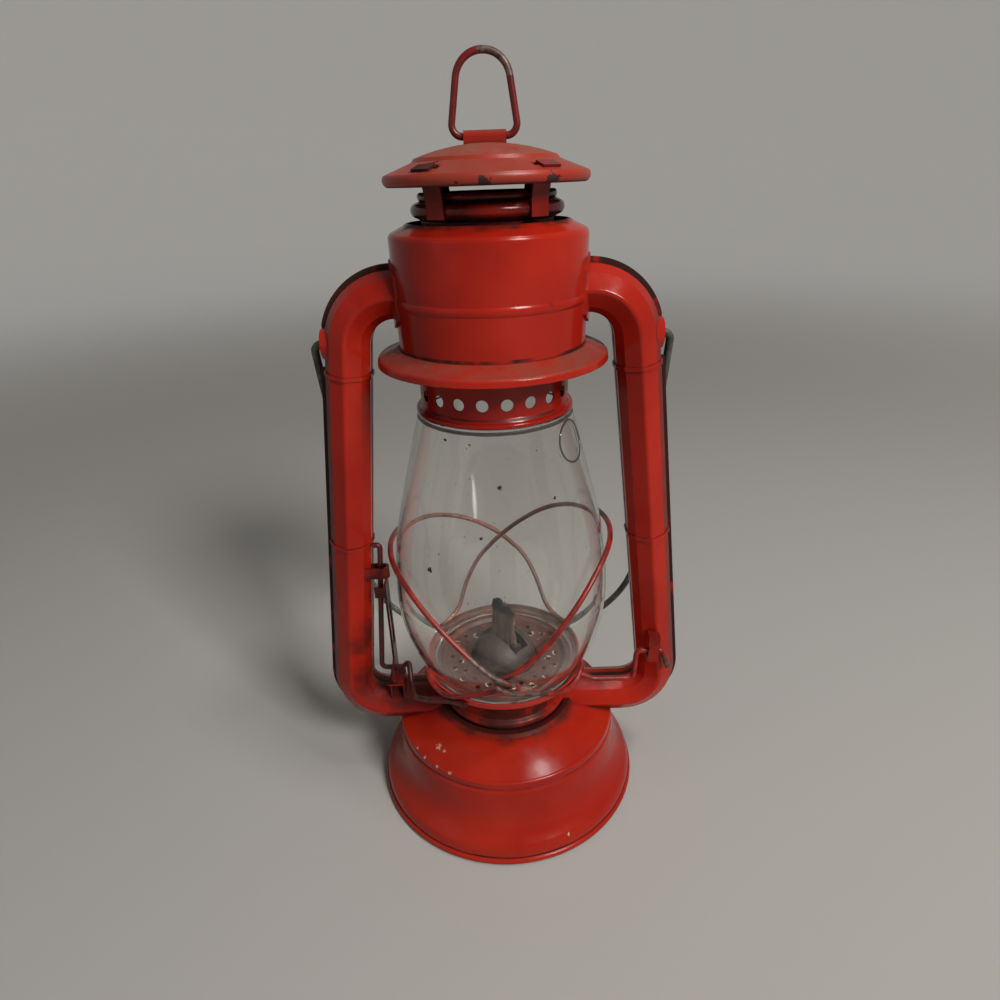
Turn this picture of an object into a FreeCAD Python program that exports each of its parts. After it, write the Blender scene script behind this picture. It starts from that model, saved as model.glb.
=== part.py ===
import FreeCAD, Part
import Sketcher
import math
import os

# A small tubular kerosene lantern: pressed-sheet tank, two air tubes, canister and cap, a glass globe
# in a wire guard, a flat-wick burner and a wire bail. Millimetres, +Z up, axis at X = Y = 0, the
# bench at Z = 0, the front at -Y.

V = FreeCAD.Vector
doc = FreeCAD.newDocument("KeroseneLantern")

# Driving dimensions
SIZES = {
    # tank: skirt, bottom and crimped domed lid
    "tank_wall": 0.7,
    "rim_radius": 60.6,
    "rim_bead_radius": 1.5,
    "foot_radius": 57.6,
    "foot_height": 9.2,
    "foot_curve": 7.0,
    "waist_radius": 51.4,
    "waist_height": 23.5,
    "waist_curve": 22.0,
    "hem_radius": 50.0,
    "hem_height": 35.4,
    "hem_depth": 2.4,
    "bottom_height": 6.0,
    "deck_height": 44.0,
    "deck_ring_radius": 30.0,
    "deck_ring_width": 3.2,
    "deck_ring_rise": 1.1,
    # burner, wick and wick raiser
    "collar_bore": 12.6,
    "collar_wall": 0.8,
    "collar_height": 5.5,
    "burner_turn": -42.0,
    "burner_wall": 0.6,
    "burner_gallery_radius": 18.0,
    "burner_neck_radius": 14.6,
    "cone_lift": 0.1,
    "cone_height": 14.7,
    "cone_slot_width": 9.0,
    "cone_slot_length": 22.0,
    "wick_width": 16.0,
    "wick_thickness": 2.0,
    "wick_rise": 31.2,
    "wick_length": 64.0,
    "wick_clearance": 0.2,
    "wick_tube_wall": 0.5,
    "wick_tube_rise": 10.2,
    "wick_tube_length": 33.0,
    "shaft_radius": 1.2,
    "shaft_rise": 10.0,
    "spur_radius": 3.4,
    "knob_radius": 6.5,
    "knob_thickness": 2.4,
    "knob_reach": 39.5,
    # filler
    "filler_bearing": 40.0,
    "filler_distance": 40.4,
    "filler_drop": 3.8,
    "filler_tilt": 22.0,
    "filler_radius": 7.5,
    "filler_height": 6.0,
    "filler_cap_radius": 9.5,
    "filler_cap_height": 5.5,
    "filler_gasket": 1.2,
    # air chamber under the globe plate
    "drum_radius": 27.0,
    "drum_wall": 0.7,
    "drum_height": 18.4,
    "drum_bead_rise": 3.0,
    # side air tubes
    "tube_wall": 0.8,
    "tube_width": 16.6,
    "tube_depth": 24.0,
    "tube_face": 7.0,
    "tube_cheek_width": 11.6,
    "tube_cheek_depth": 16.0,
    "tube_corner": 1.6,
    "tube_seam": 2.0,
    "tube_seam_thickness": 1.2,
    "tube_bead_rise": 0.5,
    "tube_bead_length": 1.6,
    "tube_bead_drop": 28.0,
    "tube_bead_pitch": 71.0,
    "tube_top_rise": 18.5,
    "tube_top_curve": 18.1,
    "tube_top_centre": 34.8,
    "tube_low_drop": 2.1,
    "tube_low_curve": 15.1,
    "tube_low_centre": 54.8,
    "tube_inner_end": 20.0,
    "tube_boss_reach": 62.6,
    "tube_boss_radius": 6.5,
    # canister with its brim
    "canister_wall": 0.6,
    "canister_foot_radius": 34.0,
    "canister_radius": 34.6,
    "canister_lift": 24.25,
    "canister_height": 37.0,
    "canister_bead_rise": 16.4,
    "canister_mouth_radius": 27.4,
    "canister_crown": 4.6,
    "canister_boss": 1.6,
    "canister_boss_rise": 0.6,
    "brim_radius": 42.6,
    "brim_bore": 28.9,
    "brim_drop": 3.4,
    "brim_lip": 2.0,
    # globe plate and glass
    "plate_radius": 36.6,
    "plate_rise": 1.9,
    "plate_lip": 2.4,
    "plate_wall": 0.8,
    "plate_bore": 16.0,
    "plate_bead_radius": 28.4,
    "plate_hole_radius": 1.1,
    "plate_hole_count": 18,
    "plate_inner_row": 20.6,
    "plate_outer_row": 24.2,
    "glass_wall": 1.6,
    "glass_foot_radius": 33.0,
    "glass_bulge_radius": 45.2,
    "glass_bulge_rise": 39.65,
    "glass_mouth_radius": 29.5,
    "glass_height": 120.0,
    # wire guard, arms and lift
    "guard_wire": 2.2,
    "guard_gap": 0.6,
    "arm_wire": 2.3,
    "lift_travel": 5.0,
    "lever_thickness": 0.9,
    "lever_width": 7.5,
    "lever_length": 46.5,
    "lever_pivot_y": -5.5,
    "lever_plane": -49.4,
    "lever_cam": 5.0,
    "bracket_thickness": 0.8,
    # lifting hood: perforated collar, chimney, cap, straps and spring
    "hood_wall": 0.6,
    "collar_radius": 27.9,
    "collar_flare": 29.9,
    "collar_hole_rise": 8.2,
    "collar_hole_radius": 2.2,
    "collar_hole_count": 20,
    "perforated_height": 25.2,
    "chimney_radius": 22.7,
    "chimney_rise": 9.2,
    "neck_bead_radius": 26.2,
    "neck_bead_rise": 3.8,
    "cap_radius": 35.0,
    "cap_rise": 11.0,
    "cap_rim_depth": 3.6,
    "cap_step_radius": 24.6,
    "cap_step_rise": 7.2,
    "cap_crown": 5.2,
    "strap_width": 7.0,
    "strap_thickness": 0.7,
    "strap_spread": 38.0,
    "spring_radius": 25.2,
    "spring_wire": 1.3,
    "spring_turns": 5,
    "spring_seat_drop": 2.75,
    "hinge_length": 14.0,
    "ring_wire": 2.3,
    "ring_reach": 26.7,
    "ring_foot_width": 24.6,
    "ring_head_width": 17.4,
    # bail
    "bail_wire": 3.0,
    "bail_pivot_drop": 17.1,
    "bail_half_width": 66.0,
    "bail_stop": 86.0,
    "bail_bow": 60.0,
    "bail_pin_end": 58.6,
    "bail_lean": 16.4,
    # clearances
    "running_clearance": 0.06,
    "moving_gap": 0.3,
    "seat_gap": 0.05,
}

sheet = doc.addObject("Spreadsheet::Sheet", "Sizes")
for row, (alias, number) in enumerate(SIZES.items(), start=1):
    sheet.set("A%d" % row, alias)
    sheet.set("B%d" % row, str(number))
    sheet.setAlias("B%d" % row, alias)
doc.recompute()


class Length:
    """A size as its number now and as the sheet expression that keeps it bound."""

    def __init__(self, number, text=None):
        self.number = float(number)
        self.text = text or repr(float(number))

    def _join(self, other, sign, number, swap=False):
        other = as_length(other)
        pair = (other.text, self.text) if swap else (self.text, other.text)
        return Length(number, "(%s %s %s)" % (pair[0], sign, pair[1]))

    def __add__(self, other):
        return self._join(other, "+", self.number + as_length(other).number)

    def __radd__(self, other):
        return self._join(other, "+", as_length(other).number + self.number, swap=True)

    def __sub__(self, other):
        return self._join(other, "-", self.number - as_length(other).number)

    def __rsub__(self, other):
        return self._join(other, "-", as_length(other).number - self.number, swap=True)

    def __mul__(self, other):
        return self._join(other, "*", self.number * as_length(other).number)

    def __rmul__(self, other):
        return self._join(other, "*", as_length(other).number * self.number, swap=True)

    def __truediv__(self, other):
        return self._join(other, "/", self.number / as_length(other).number)

    def __neg__(self):
        return 0 - self

    def __float__(self):
        return self.number


def as_length(value):
    return value if isinstance(value, Length) else Length(value)


class SheetSizes:
    """Every alias of the sheet as a Length."""

    def __init__(self, names):
        for name in names:
            setattr(self, name, Length(SIZES[name], "Sizes." + name))


s = SheetSizes(SIZES)
nodes = {}

# Heights that one size hands on to the next: up the burner and globe, then up the tubes and hood.
drum_top = s.deck_height + s.drum_height
plate_seat = drum_top + s.plate_rise
plate_inner_top = drum_top + s.moving_gap
cone_base = plate_inner_top + s.cone_lift
wick_top = cone_base + s.wick_rise
wick_tube_top = cone_base + s.wick_tube_rise
shaft_height = s.deck_height + s.shaft_rise
glass_foot = plate_seat + s.seat_gap
glass_bulge = glass_foot + s.glass_bulge_rise
glass_mouth = glass_foot + s.glass_height
canister_foot = glass_mouth + s.canister_lift
canister_shoulder = canister_foot + s.canister_height
canister_top = canister_shoulder + s.canister_crown
canister_bead = canister_foot + s.canister_bead_rise
tube_top = canister_foot + s.tube_top_rise
tube_low = s.deck_height - s.tube_low_drop
bail_pivot = tube_top - s.bail_pivot_drop
collar_foot = glass_mouth + s.seat_gap
collar_shoulder = collar_foot + s.perforated_height
chimney_top = canister_top + s.chimney_rise
neck = canister_top + s.neck_bead_rise
cap_rim = canister_top + s.cap_rise
cap_step = cap_rim + s.cap_step_rise
cap_top = cap_step + s.cap_crown
spring_seat_height = canister_top - s.spring_seat_drop
ring_crown = cap_top + s.ring_reach
lever_pivot = plate_seat - s.plate_wall
lever_top = lever_pivot + s.lever_length


class Free:
    """A sketch coordinate left to tangency, with the value to start from."""

    def __init__(self, guess):
        self.number = float(guess)


def bind(obj, prop, value):
    value = as_length(value)
    obj.setExpression(prop, value.text)


def keep(name, obj):
    obj.Label = name
    nodes[name] = obj
    return obj


PLANES = {
    "XY_Plane": FreeCAD.Rotation(0, 0, 0),
    "XZ_Plane": FreeCAD.Rotation(0, 0, 90),
    "YZ_Plane": FreeCAD.Rotation(90, 0, 90),
}


def arc_between(start, end, radius):
    """The minor arc from start to end: a positive radius turns left, a negative one turns right."""
    chord = end - start
    half = chord.Length / 2
    size = abs(radius)
    rise = math.sqrt(max(size * size - half * half, 0.0))
    left = V(-chord.y, chord.x, 0).normalize()
    centre = (start + end) * 0.5 + left * (rise if radius > 0 else -rise)
    first, last = (start, end) if radius > 0 else (end, start)
    begin = math.atan2(first.y - centre.y, first.x - centre.x)
    finish = math.atan2(last.y - centre.y, last.x - centre.x)
    if finish < begin:
        finish += 2 * math.pi
    return Part.ArcOfCircle(Part.Circle(centre, V(0, 0, 1), size), begin, finish)


def draw(sketch, path, closed):
    """Lines and arcs through the path's points, each coordinate and radius bound to the sheet.

    A path is (x, y) points; a third value is an arc's signed radius, a fourth "smooth" makes its
    start tangent, "smooth both" its end as well, and a fifth is the arc centre's x."""
    points = [V(float(p[0].number if isinstance(p[0], Free) else p[0]),
                float(p[1].number if isinstance(p[1], Free) else p[1]), 0) for p in path]
    count = len(path)
    segments = range(1, count + 1 if closed else count)
    ends = []
    for i in segments:
        spec = path[i % count] if i < count else path[0][:2]
        start, end = points[i - 1], points[i % count]
        if i < count and len(spec) > 2:
            radius = float(spec[2])
            index = sketch.addGeometry(arc_between(start, end, radius), False)
            ends.append((index, 1, 2) if radius > 0 else (index, 2, 1))
        else:
            index = sketch.addGeometry(Part.LineSegment(start, end), False)
            ends.append((index, 1, 2))
    joints = []
    for j, (index, first, last) in enumerate(ends):
        if j + 1 < len(ends) or closed:
            following = ends[(j + 1) % len(ends)]
            into = path[j + 2] if j + 2 < count else ()
            out = path[j + 1] if j + 1 < count else ()
            smooth = (len(into) > 3 and "smooth" in into[3]) or (len(out) > 3 and out[3] == "smooth both")
            kind = "Tangent" if smooth else "Coincident"
            joints.append(Sketcher.Constraint(kind, index, last, following[0], following[1]))
    sketch.addConstraint(joints)
    named = []
    for j, (index, first, last) in enumerate(ends):
        places = [(first, j)] if closed or j + 1 < len(ends) else [(first, j), (last, j + 1)]
        for position, k in places:
            for axis, coordinate, on_axis in (("DistanceX", path[k][0], -2), ("DistanceY", path[k][1], -1)):
                if isinstance(coordinate, Free):
                    continue
                value = as_length(coordinate)
                if value.number == 0.0:
                    sketch.addConstraint(Sketcher.Constraint("PointOnObject", index, position, on_axis))
                    continue
                named.append((Sketcher.Constraint(axis, -1, 1, index, position, value.number), value))
        spec = path[j + 1] if j + 1 < count else ()
        if len(spec) > 2:
            radius = as_length(spec[2])
            size = radius if radius.number > 0 else -radius
            named.append((Sketcher.Constraint("Radius", index, size.number), size))
            if len(spec) > 4:
                centre = as_length(spec[4])
                named.append((Sketcher.Constraint("DistanceX", -1, 1, index, 3, centre.number), centre))
    for constraint, value in named:
        number = sketch.addConstraint(constraint)
        if value.text != repr(value.number):
            sketch.setExpression("Constraints[%d]" % number, value.text)
    return sketch


def free_sketch(name, plane, path, closed=True):
    sketch = doc.addObject("Sketcher::SketchObject", name)
    sketch.Placement = FreeCAD.Placement(V(0, 0, 0), PLANES[plane])
    return draw(sketch, path, closed)


def body_sketch(body, name, plane, path, closed=True):
    sketch = body.newObject("Sketcher::SketchObject", name)
    origin_plane = [f for f in body.Origin.OriginFeatures if f.Role == plane][0]
    sketch.AttachmentSupport = [(origin_plane, "")]
    sketch.MapMode = "FlatFace"
    return draw(sketch, path, closed)


def revolved(name, source):
    turned = doc.addObject("Part::Revolution", name)
    turned.Source = source
    turned.Axis = V(0, 0, 1)
    turned.Base = V(0, 0, 0)
    turned.Angle = 360
    turned.Solid = True
    return turned


def ball_radius(outer, inner):
    """The radius of an arc between two (radius, height) points whose centre lies on the axis."""
    (a, low), (b, high) = outer, inner
    centre = (a * a - b * b + low * low - high * high) / (2 * (low - high))
    square = a * a + (low - centre) * (low - centre)
    return Length(math.sqrt(square.number), "sqrt(%s)" % square.text)


def crown_radius(reach, rise):
    """The radius of an arc that rises this much over this reach and is level on the axis."""
    reach, rise = as_length(reach), as_length(rise)
    return (reach * reach + rise * rise) / (2 * rise)


def profile_start(path):
    """The ends of the profile's first straight run, which fixes the side the sheet lies on."""
    for start, end in zip(path, path[1:]):
        if len(end) == 2:
            return [V(float(p[0]), 0, float(p[1])) for p in (start, end)]
    raise ValueError("a sheet's profile needs a straight run")


def spun_sheet(name, path, wall):
    """A pressed round sheet: its outer face's path, thickened to the path's left and revolved about Z."""
    profile = free_sketch(name + "_profile", "XZ_Plane", path, closed=False)
    thick = doc.addObject("Part::Offset2D", name + "_section")
    thick.Source = profile
    thick.Fill = True
    thick.Mode = "Skin"
    thick.Join = "Arc"
    bind(thick, "Value", as_length(wall))
    doc.recompute()
    first, second = profile_start(path)
    along = (second - first).normalize()
    inside = (first + second) * 0.5 + V(-along.z, 0, along.x) * (0.5 * float(wall))
    if thick.Shape.distToShape(Part.Vertex(inside))[0] > 1e-4:
        bind(thick, "Value", -as_length(wall))
    return revolved(name + "_spun", thick)


def spun_solid(name, path):
    """A turned piece: a PartDesign body with one closed profile revolved about Z."""
    body = doc.addObject("PartDesign::Body", name + "_body")
    profile = body_sketch(body, name + "_profile", "XZ_Plane", path)
    turn = body.newObject("PartDesign::Revolution", name + "_turn")
    turn.Profile = profile
    turn.ReferenceAxis = (profile, ["V_Axis"])
    turn.Angle = 360
    return body


def padded(name, plane, path, length, centre=0.0):
    """A PartDesign body: a closed outline padded both ways from a plane at the centre distance."""
    body = doc.addObject("PartDesign::Body", name + "_body")
    outline = body_sketch(body, name + "_outline", plane, path)
    direction = {"XY_Plane": "z", "XZ_Plane": "y", "YZ_Plane": "x"}[plane]
    bind(outline, "AttachmentOffset.Base.z", -as_length(centre) if direction == "y" else as_length(centre))
    block = body.newObject("PartDesign::Pad", name + "_pad")
    block.Profile = outline
    bind(block, "Length", length)
    block.SideType = "Symmetric"
    return body


def mirrored(name, source):
    """The source's mirror image across the plane between left and right."""
    twin = doc.addObject("Part::Mirroring", name + "_twin")
    twin.Source = source
    twin.Normal = V(1, 0, 0)
    twin.Base = V(0, 0, 0)
    return twin


def cut(name, base, *tools):
    for i, tool in enumerate(tools):
        less = doc.addObject("Part::Cut", "%s_less_%d" % (name, i + 1))
        less.Base = base
        less.Tool = tool
        base = less
    return base


def fused(name, *pieces):
    joined = doc.addObject("Part::MultiFuse", name + "_joined")
    joined.Shapes = list(pieces)
    return joined


def cylinder(name, radius, height, placement=None):
    rod = doc.addObject("Part::Cylinder", name)
    bind(rod, "Radius", radius)
    bind(rod, "Height", height)
    if placement:
        rod.Placement = placement
    return rod


def box(name, length, width, height, placement=None):
    block = doc.addObject("Part::Box", name)
    bind(block, "Length", length)
    bind(block, "Width", width)
    bind(block, "Height", height)
    if placement:
        block.Placement = placement
    return block


def placed(position, yaw=0.0, pitch=0.0, roll=0.0):
    return FreeCAD.Placement(V(*[float(c) for c in position]), FreeCAD.Rotation(yaw, pitch, roll))


def rounded_path(points, radii):
    """Straight runs joined by tangent arcs, none larger than its two runs allow."""
    edges = []
    here = points[0]
    for i in range(1, len(points) - 1):
        corner = points[i]
        before, after = corner - points[i - 1], points[i + 1] - corner
        turn = before.getAngle(after)
        largest = 0.48 * min(before.Length, after.Length) / math.tan(turn / 2)
        radius = min(radii[i - 1], largest) if radii else largest
        reach = radius * math.tan(turn / 2)
        first = corner - V(before).normalize() * reach
        last = corner + V(after).normalize() * reach
        middle_direction = (V(after).normalize() - V(before).normalize()).normalize()
        middle = corner + middle_direction * (radius / math.cos(turn / 2) - radius)
        edges.append(Part.LineSegment(here, first).toShape())
        edges.append(Part.Arc(first, middle, last).toShape())
        here = last
    edges.append(Part.LineSegment(here, points[-1]).toShape())
    return Part.Wire(edges)


def wire_solid(points, diameter, radii=None):
    """Round wire along straight runs and tangent arcs."""
    path = rounded_path(points, radii)
    start = points[0]
    direction = points[1] - points[0]
    ring = Part.Wire([Part.makeCircle(float(diameter) / 2, start, direction)])
    solid = path.makePipeShell([ring], True, False)
    expected = path.Length * math.pi * float(diameter) ** 2 / 4
    if abs(solid.Volume - expected) > 0.02 * expected:
        raise ValueError("a wire came out with the wrong volume")
    return solid


def bent_wire(name, points, diameter, radii=None):
    feature = doc.addObject("Part::Feature", name + "_wire")
    feature.Shape = wire_solid(points, diameter, radii)
    return feature


def polar(angle, radius, z):
    """A point at an angle from the front (-Y) towards the right (+X)."""
    turn = math.radians(angle)
    return V(radius * math.sin(turn), -radius * math.cos(turn), z)


# Tank: a flared skirt rolled over a bead at the rim, a raised bottom and a domed lid crimped on.
bead = s.rim_bead_radius
bead_neck = 0.6
hem_lead = 2.0
skirt_path = [
    (s.rim_radius - 2 * bead, 0),
    (s.rim_radius - bead, 0),
    (s.rim_radius, bead, bead),
    (s.rim_radius - bead, 2 * bead, bead),
    (s.rim_radius - bead + bead_neck / 2, 2 * bead + bead_neck),
    (s.foot_radius, s.foot_height, s.foot_curve),
    (s.waist_radius, s.waist_height, -s.waist_curve),
    (s.hem_radius + 0.4, s.hem_height - s.hem_depth - hem_lead),
    (s.hem_radius - s.tank_wall, s.hem_height - s.hem_depth - 0.3 * hem_lead),
    (s.hem_radius - s.tank_wall, s.hem_height - s.tank_wall),
]
ring_outer = s.deck_ring_radius + s.deck_ring_width / 2
ring_inner = s.deck_ring_radius - s.deck_ring_width / 2
ring_top = s.deck_height + s.deck_ring_rise
ring_slope = 0.5
hem_round = 1.2
dome_foot = (s.hem_radius - hem_round, s.hem_height + hem_round)
dome_head = (ring_outer + ring_slope, s.deck_height - 0.4)
top_path = [
    (s.hem_radius, s.hem_height - s.hem_depth),
    (s.hem_radius, s.hem_height),
    dome_foot + (hem_round,),
    dome_head + (ball_radius(dome_foot, dome_head),),
    (ring_outer - ring_slope, ring_top),
    (ring_inner + ring_slope, ring_top),
    (ring_inner - 0.4, s.deck_height),
    (s.collar_bore + s.collar_wall, s.deck_height),
]
keep("tank_skirt", spun_sheet("tank_skirt", skirt_path, s.tank_wall))
bottom_edge = s.rim_radius - bead - 0.6
bottom_flange = 2.0
bottom_step = bottom_edge - bottom_flange - 1.4
keep("tank_bottom", spun_sheet("tank_bottom", [
    (bottom_edge, s.tank_wall),
    (bottom_edge - bottom_flange, s.tank_wall),
    (bottom_step, s.bottom_height - 1.0),
    (bottom_step - 1.0, s.bottom_height, 1.2),
    (0, s.bottom_height),
], -s.tank_wall))
tank_envelope = revolved("tank_envelope", free_sketch("tank_outline", "XZ_Plane",
                         skirt_path[:8] + [(s.hem_radius, s.hem_height - s.hem_depth)] + top_path[1:7]
                         + [(0, s.deck_height), (0, 0)]))

# Filler: a short neck square to the dome at the back right, with a gasket and a screwed cap.
bearing = math.radians(180 - SIZES["filler_bearing"])
filler_foot = V(SIZES["filler_distance"] * math.sin(bearing), -SIZES["filler_distance"] * math.cos(bearing),
                float(s.deck_height - s.filler_drop))
filler_place = FreeCAD.Placement(filler_foot,
                                 FreeCAD.Rotation(90 - SIZES["filler_bearing"], SIZES["filler_tilt"], 0))
neck_wall = 0.8
neck_root = -2.0
filler_neck = spun_solid("filler_neck", [
    (s.filler_radius - neck_wall, neck_root),
    (s.filler_radius, neck_root),
    (s.filler_radius, s.filler_height),
    (s.filler_radius - neck_wall, s.filler_height),
])
filler_neck.Placement = filler_place
filler_hole = cylinder("filler_hole", s.filler_radius, 12.0, filler_place.multiply(placed((0, 0, -6))))
keep("tank_top", cut("tank_top", spun_sheet("tank_top", top_path, s.tank_wall), filler_hole))
keep("filler_neck", filler_neck)
gasket_play = 0.1
gasket_floor = s.filler_height + gasket_play
gasket_bore, gasket_edge = s.filler_radius - 2.2, s.filler_radius + 0.6
filler_gasket = spun_solid("filler_gasket", [
    (gasket_bore, gasket_floor),
    (gasket_edge, gasket_floor),
    (gasket_edge, gasket_floor + s.filler_gasket),
    (gasket_bore, gasket_floor + s.filler_gasket),
])
filler_gasket.Placement = filler_place
keep("filler_gasket", filler_gasket)
cap_ceiling = gasket_floor + s.filler_gasket + gasket_play
cap_wall = 1.0
cap_shoulder = cap_ceiling + cap_wall
cap_button = cap_shoulder + 0.5
filler_cap = spun_solid("filler_cap", [
    (0, cap_ceiling),
    (s.filler_cap_radius - cap_wall, cap_ceiling),
    (s.filler_cap_radius - cap_wall, cap_shoulder - s.filler_cap_height),
    (s.filler_cap_radius, cap_shoulder - s.filler_cap_height),
    (s.filler_cap_radius, cap_shoulder - 0.6),
    (s.filler_cap_radius - 0.8, cap_shoulder),
    (s.filler_cap_radius - 2.2, cap_shoulder),
    (s.filler_cap_radius - 2.8, cap_button),
    (0, cap_button),
])
doc.recompute()
filler_cap_notches = 24
notch = body_sketch(filler_cap, "filler_cap_notch", "XY_Plane", [
    (s.filler_cap_radius + 0.3, -0.5), (s.filler_cap_radius + 0.3, 0.5), (s.filler_cap_radius - 0.35, 0)])
knurl = filler_cap.newObject("PartDesign::Pocket", "filler_cap_knurl")
knurl.Profile = notch
knurl.Type = "ThroughAll"
knurl.SideType = "Symmetric"
knurls = filler_cap.newObject("PartDesign::PolarPattern", "filler_cap_knurls")
knurls.Originals = [knurl]
knurls.Axis = (notch, ["N_Axis"])
knurls.Angle = 360
knurls.Occurrences = filler_cap_notches
filler_cap.Tip = knurls
filler_cap.Placement = filler_place
keep("filler_cap", filler_cap)

# Burner: brass collar on the deck, gallery body, flat wick tube, slotted cone, wick and its raiser.
# The flat wick stands across the burner at the burner turn from the tubes' plane.
collar_outer = s.collar_bore + s.collar_wall
collar_tail, collar_flange, flange_gauge = 1.6, 2.4, 0.9
keep("burner_collar", spun_solid("burner_collar", [
    (s.collar_bore, s.deck_height - collar_tail),
    (collar_outer, s.deck_height - collar_tail),
    (collar_outer, s.deck_height),
    (collar_outer + collar_flange, s.deck_height),
    (collar_outer + collar_flange, s.deck_height + flange_gauge),
    (collar_outer + flange_gauge, s.deck_height + flange_gauge),
    (collar_outer + flange_gauge, s.deck_height + s.collar_height),
    (s.collar_bore, s.deck_height + s.collar_height),
]))
gallery_floor = s.deck_height + s.collar_height
burner_foot = s.collar_bore - 0.1
burner_shell = spun_sheet("burner_body", [
    (0, s.deck_height),
    (burner_foot, s.deck_height),
    (burner_foot, gallery_floor + s.burner_wall),
    (s.burner_gallery_radius, gallery_floor + s.burner_wall),
    (s.burner_gallery_radius, gallery_floor + 3.0),
    (s.burner_neck_radius, cone_base - 3.5),
    (s.burner_neck_radius, cone_base),
], s.burner_wall)
turned = placed((0, 0, 0), yaw=SIZES["burner_turn"])
tube_inside = s.wick_width + 2 * s.wick_clearance
tube_gap = s.wick_thickness + 2 * s.wick_clearance
tube_outside = tube_inside + 2 * s.wick_tube_wall
tube_outside_gap = tube_gap + 2 * s.wick_tube_wall


def centred_block(name, length, width, bottom, height):
    """A block centred on the axis, length along the wick's face, turned with the burner."""
    block = padded(name, "XY_Plane", [
        (-length / 2, -width / 2), (length / 2, -width / 2),
        (length / 2, width / 2), (-length / 2, width / 2),
    ], height, bottom + height / 2)
    block.Placement = turned
    return block


tube_foot = wick_tube_top - s.wick_tube_length
tube_outer_block = centred_block("wick_tube_outer", tube_outside, tube_outside_gap,
                                 tube_foot, s.wick_tube_length)
tube_hole_block = centred_block("wick_tube_hole", tube_outside, tube_outside_gap,
                                tube_foot - 1, s.wick_tube_length)
tube_bore = centred_block("wick_tube_bore", tube_inside, tube_gap, tube_foot - 2, s.wick_tube_length + 4)
shaft_offset = tube_gap / 2 + s.spur_radius - 0.1
window_height = 2 * s.spur_radius + 1.0
spur_window = padded("spur_window", "YZ_Plane", [
    (tube_gap / 2 - 0.4, shaft_height - window_height / 2),
    (tube_gap / 2 + 2 * s.spur_radius, shaft_height - window_height / 2),
    (tube_gap / 2 + 2 * s.spur_radius, shaft_height + window_height / 2),
    (tube_gap / 2 - 0.4, shaft_height + window_height / 2),
], s.wick_width - 4.0)
spur_window.Placement = turned
keep("wick_tube", cut("wick_tube", tube_outer_block, tube_bore, spur_window))
shaft_line = FreeCAD.Placement(V(0, 0, 0), FreeCAD.Rotation(SIZES["burner_turn"], 0, 0)).multiply(
    FreeCAD.Placement(V(0, float(shaft_offset), float(shaft_height)), FreeCAD.Rotation(0, -90, 0)))
shaft_inner_end = -9.0
shaft_way = cylinder("shaft_way", s.shaft_radius + s.running_clearance, s.knob_reach - shaft_inner_end,
                     shaft_line.multiply(placed((0, 0, shaft_inner_end))))
burner_shell_cut = cut("burner_body", burner_shell, tube_hole_block, shaft_way)
air_hole_count, air_hole_radius = 12, 1.6
air_hole = cylinder("air_hole", air_hole_radius, 12.0, placed((0, -12, float(gallery_floor) + 6.2), roll=75))
air_holes = doc.addObject("Part::MultiFuse", "air_holes")
holes = [air_hole]
for i in range(1, air_hole_count):
    turn = FreeCAD.Placement(V(0, 0, 0), FreeCAD.Rotation(V(0, 0, 1), 360.0 * i / air_hole_count))
    holes.append(cylinder("air_hole_%d" % i, air_hole_radius, 12.0, turn.multiply(air_hole.Placement)))
air_holes.Shapes = holes
keep("burner_body", cut("burner_body_holes", burner_shell_cut, air_holes))

cone_brow = cone_base + 2.6
cone_top = cone_base + s.cone_height
cone_shell = spun_sheet("burner_cone", [
    (s.burner_neck_radius, cone_base),
    (s.burner_neck_radius, cone_brow),
    (0, cone_top, crown_radius(s.burner_neck_radius, cone_top - cone_brow)),
], s.burner_wall)
cone_slot = centred_block("cone_slot", s.cone_slot_length, s.cone_slot_width, cone_base + 6.0, 12.0)
keep("burner_cone", cut("burner_cone", cone_shell, cone_slot))

keep("wick", centred_block("wick", s.wick_width, s.wick_thickness, wick_top - s.wick_length, s.wick_length))

# The raiser's shaft runs along the wick's face to a knob outside the air chamber, at the back left.
spur_width = 1.4
shaft_parts = [cylinder("shaft_rod", s.shaft_radius, s.knob_reach - shaft_inner_end,
                        shaft_line.multiply(placed((0, 0, shaft_inner_end))))]
for i, side in enumerate((-4.2, 2.8)):
    shaft_parts.append(cylinder("spur_wheel_%d" % (i + 1), s.spur_radius - s.moving_gap, spur_width,
                                shaft_line.multiply(placed((0, 0, side)))))
keep("wick_shaft", fused("wick_shaft", *shaft_parts))
knob_back, knob_face, knob_boss = s.knob_reach - s.knob_thickness, s.knob_reach - 0.4, s.knob_reach + 0.8
knob = spun_solid("wick_knob", [
    (0, s.knob_reach),
    (0, knob_boss),
    (s.shaft_radius + 1.0, knob_boss),
    (s.knob_radius - 1.4, knob_face),
    (s.knob_radius, knob_face),
    (s.knob_radius, knob_back),
    (s.shaft_radius, knob_back),
    (s.shaft_radius, s.knob_reach),
])
doc.recompute()
knob_notches = 18
knob_notch = body_sketch(knob, "wick_knob_notch", "XY_Plane", [
    (s.knob_radius + 0.4, -0.7), (s.knob_radius + 0.4, 0.7), (s.knob_radius - 0.5, 0)])
knob_knurl = knob.newObject("PartDesign::Pocket", "wick_knob_knurl")
knob_knurl.Profile = knob_notch
knob_knurl.Type = "ThroughAll"
knob_knurl.SideType = "Symmetric"
knob_knurls = knob.newObject("PartDesign::PolarPattern", "wick_knob_knurls")
knob_knurls.Originals = [knob_knurl]
knob_knurls.Axis = (knob_notch, ["N_Axis"])
knob_knurls.Angle = 360
knob_knurls.Occurrences = knob_notches
knob.Tip = knob_knurls
knob.Placement = shaft_line
keep("wick_knob", knob)

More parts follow.
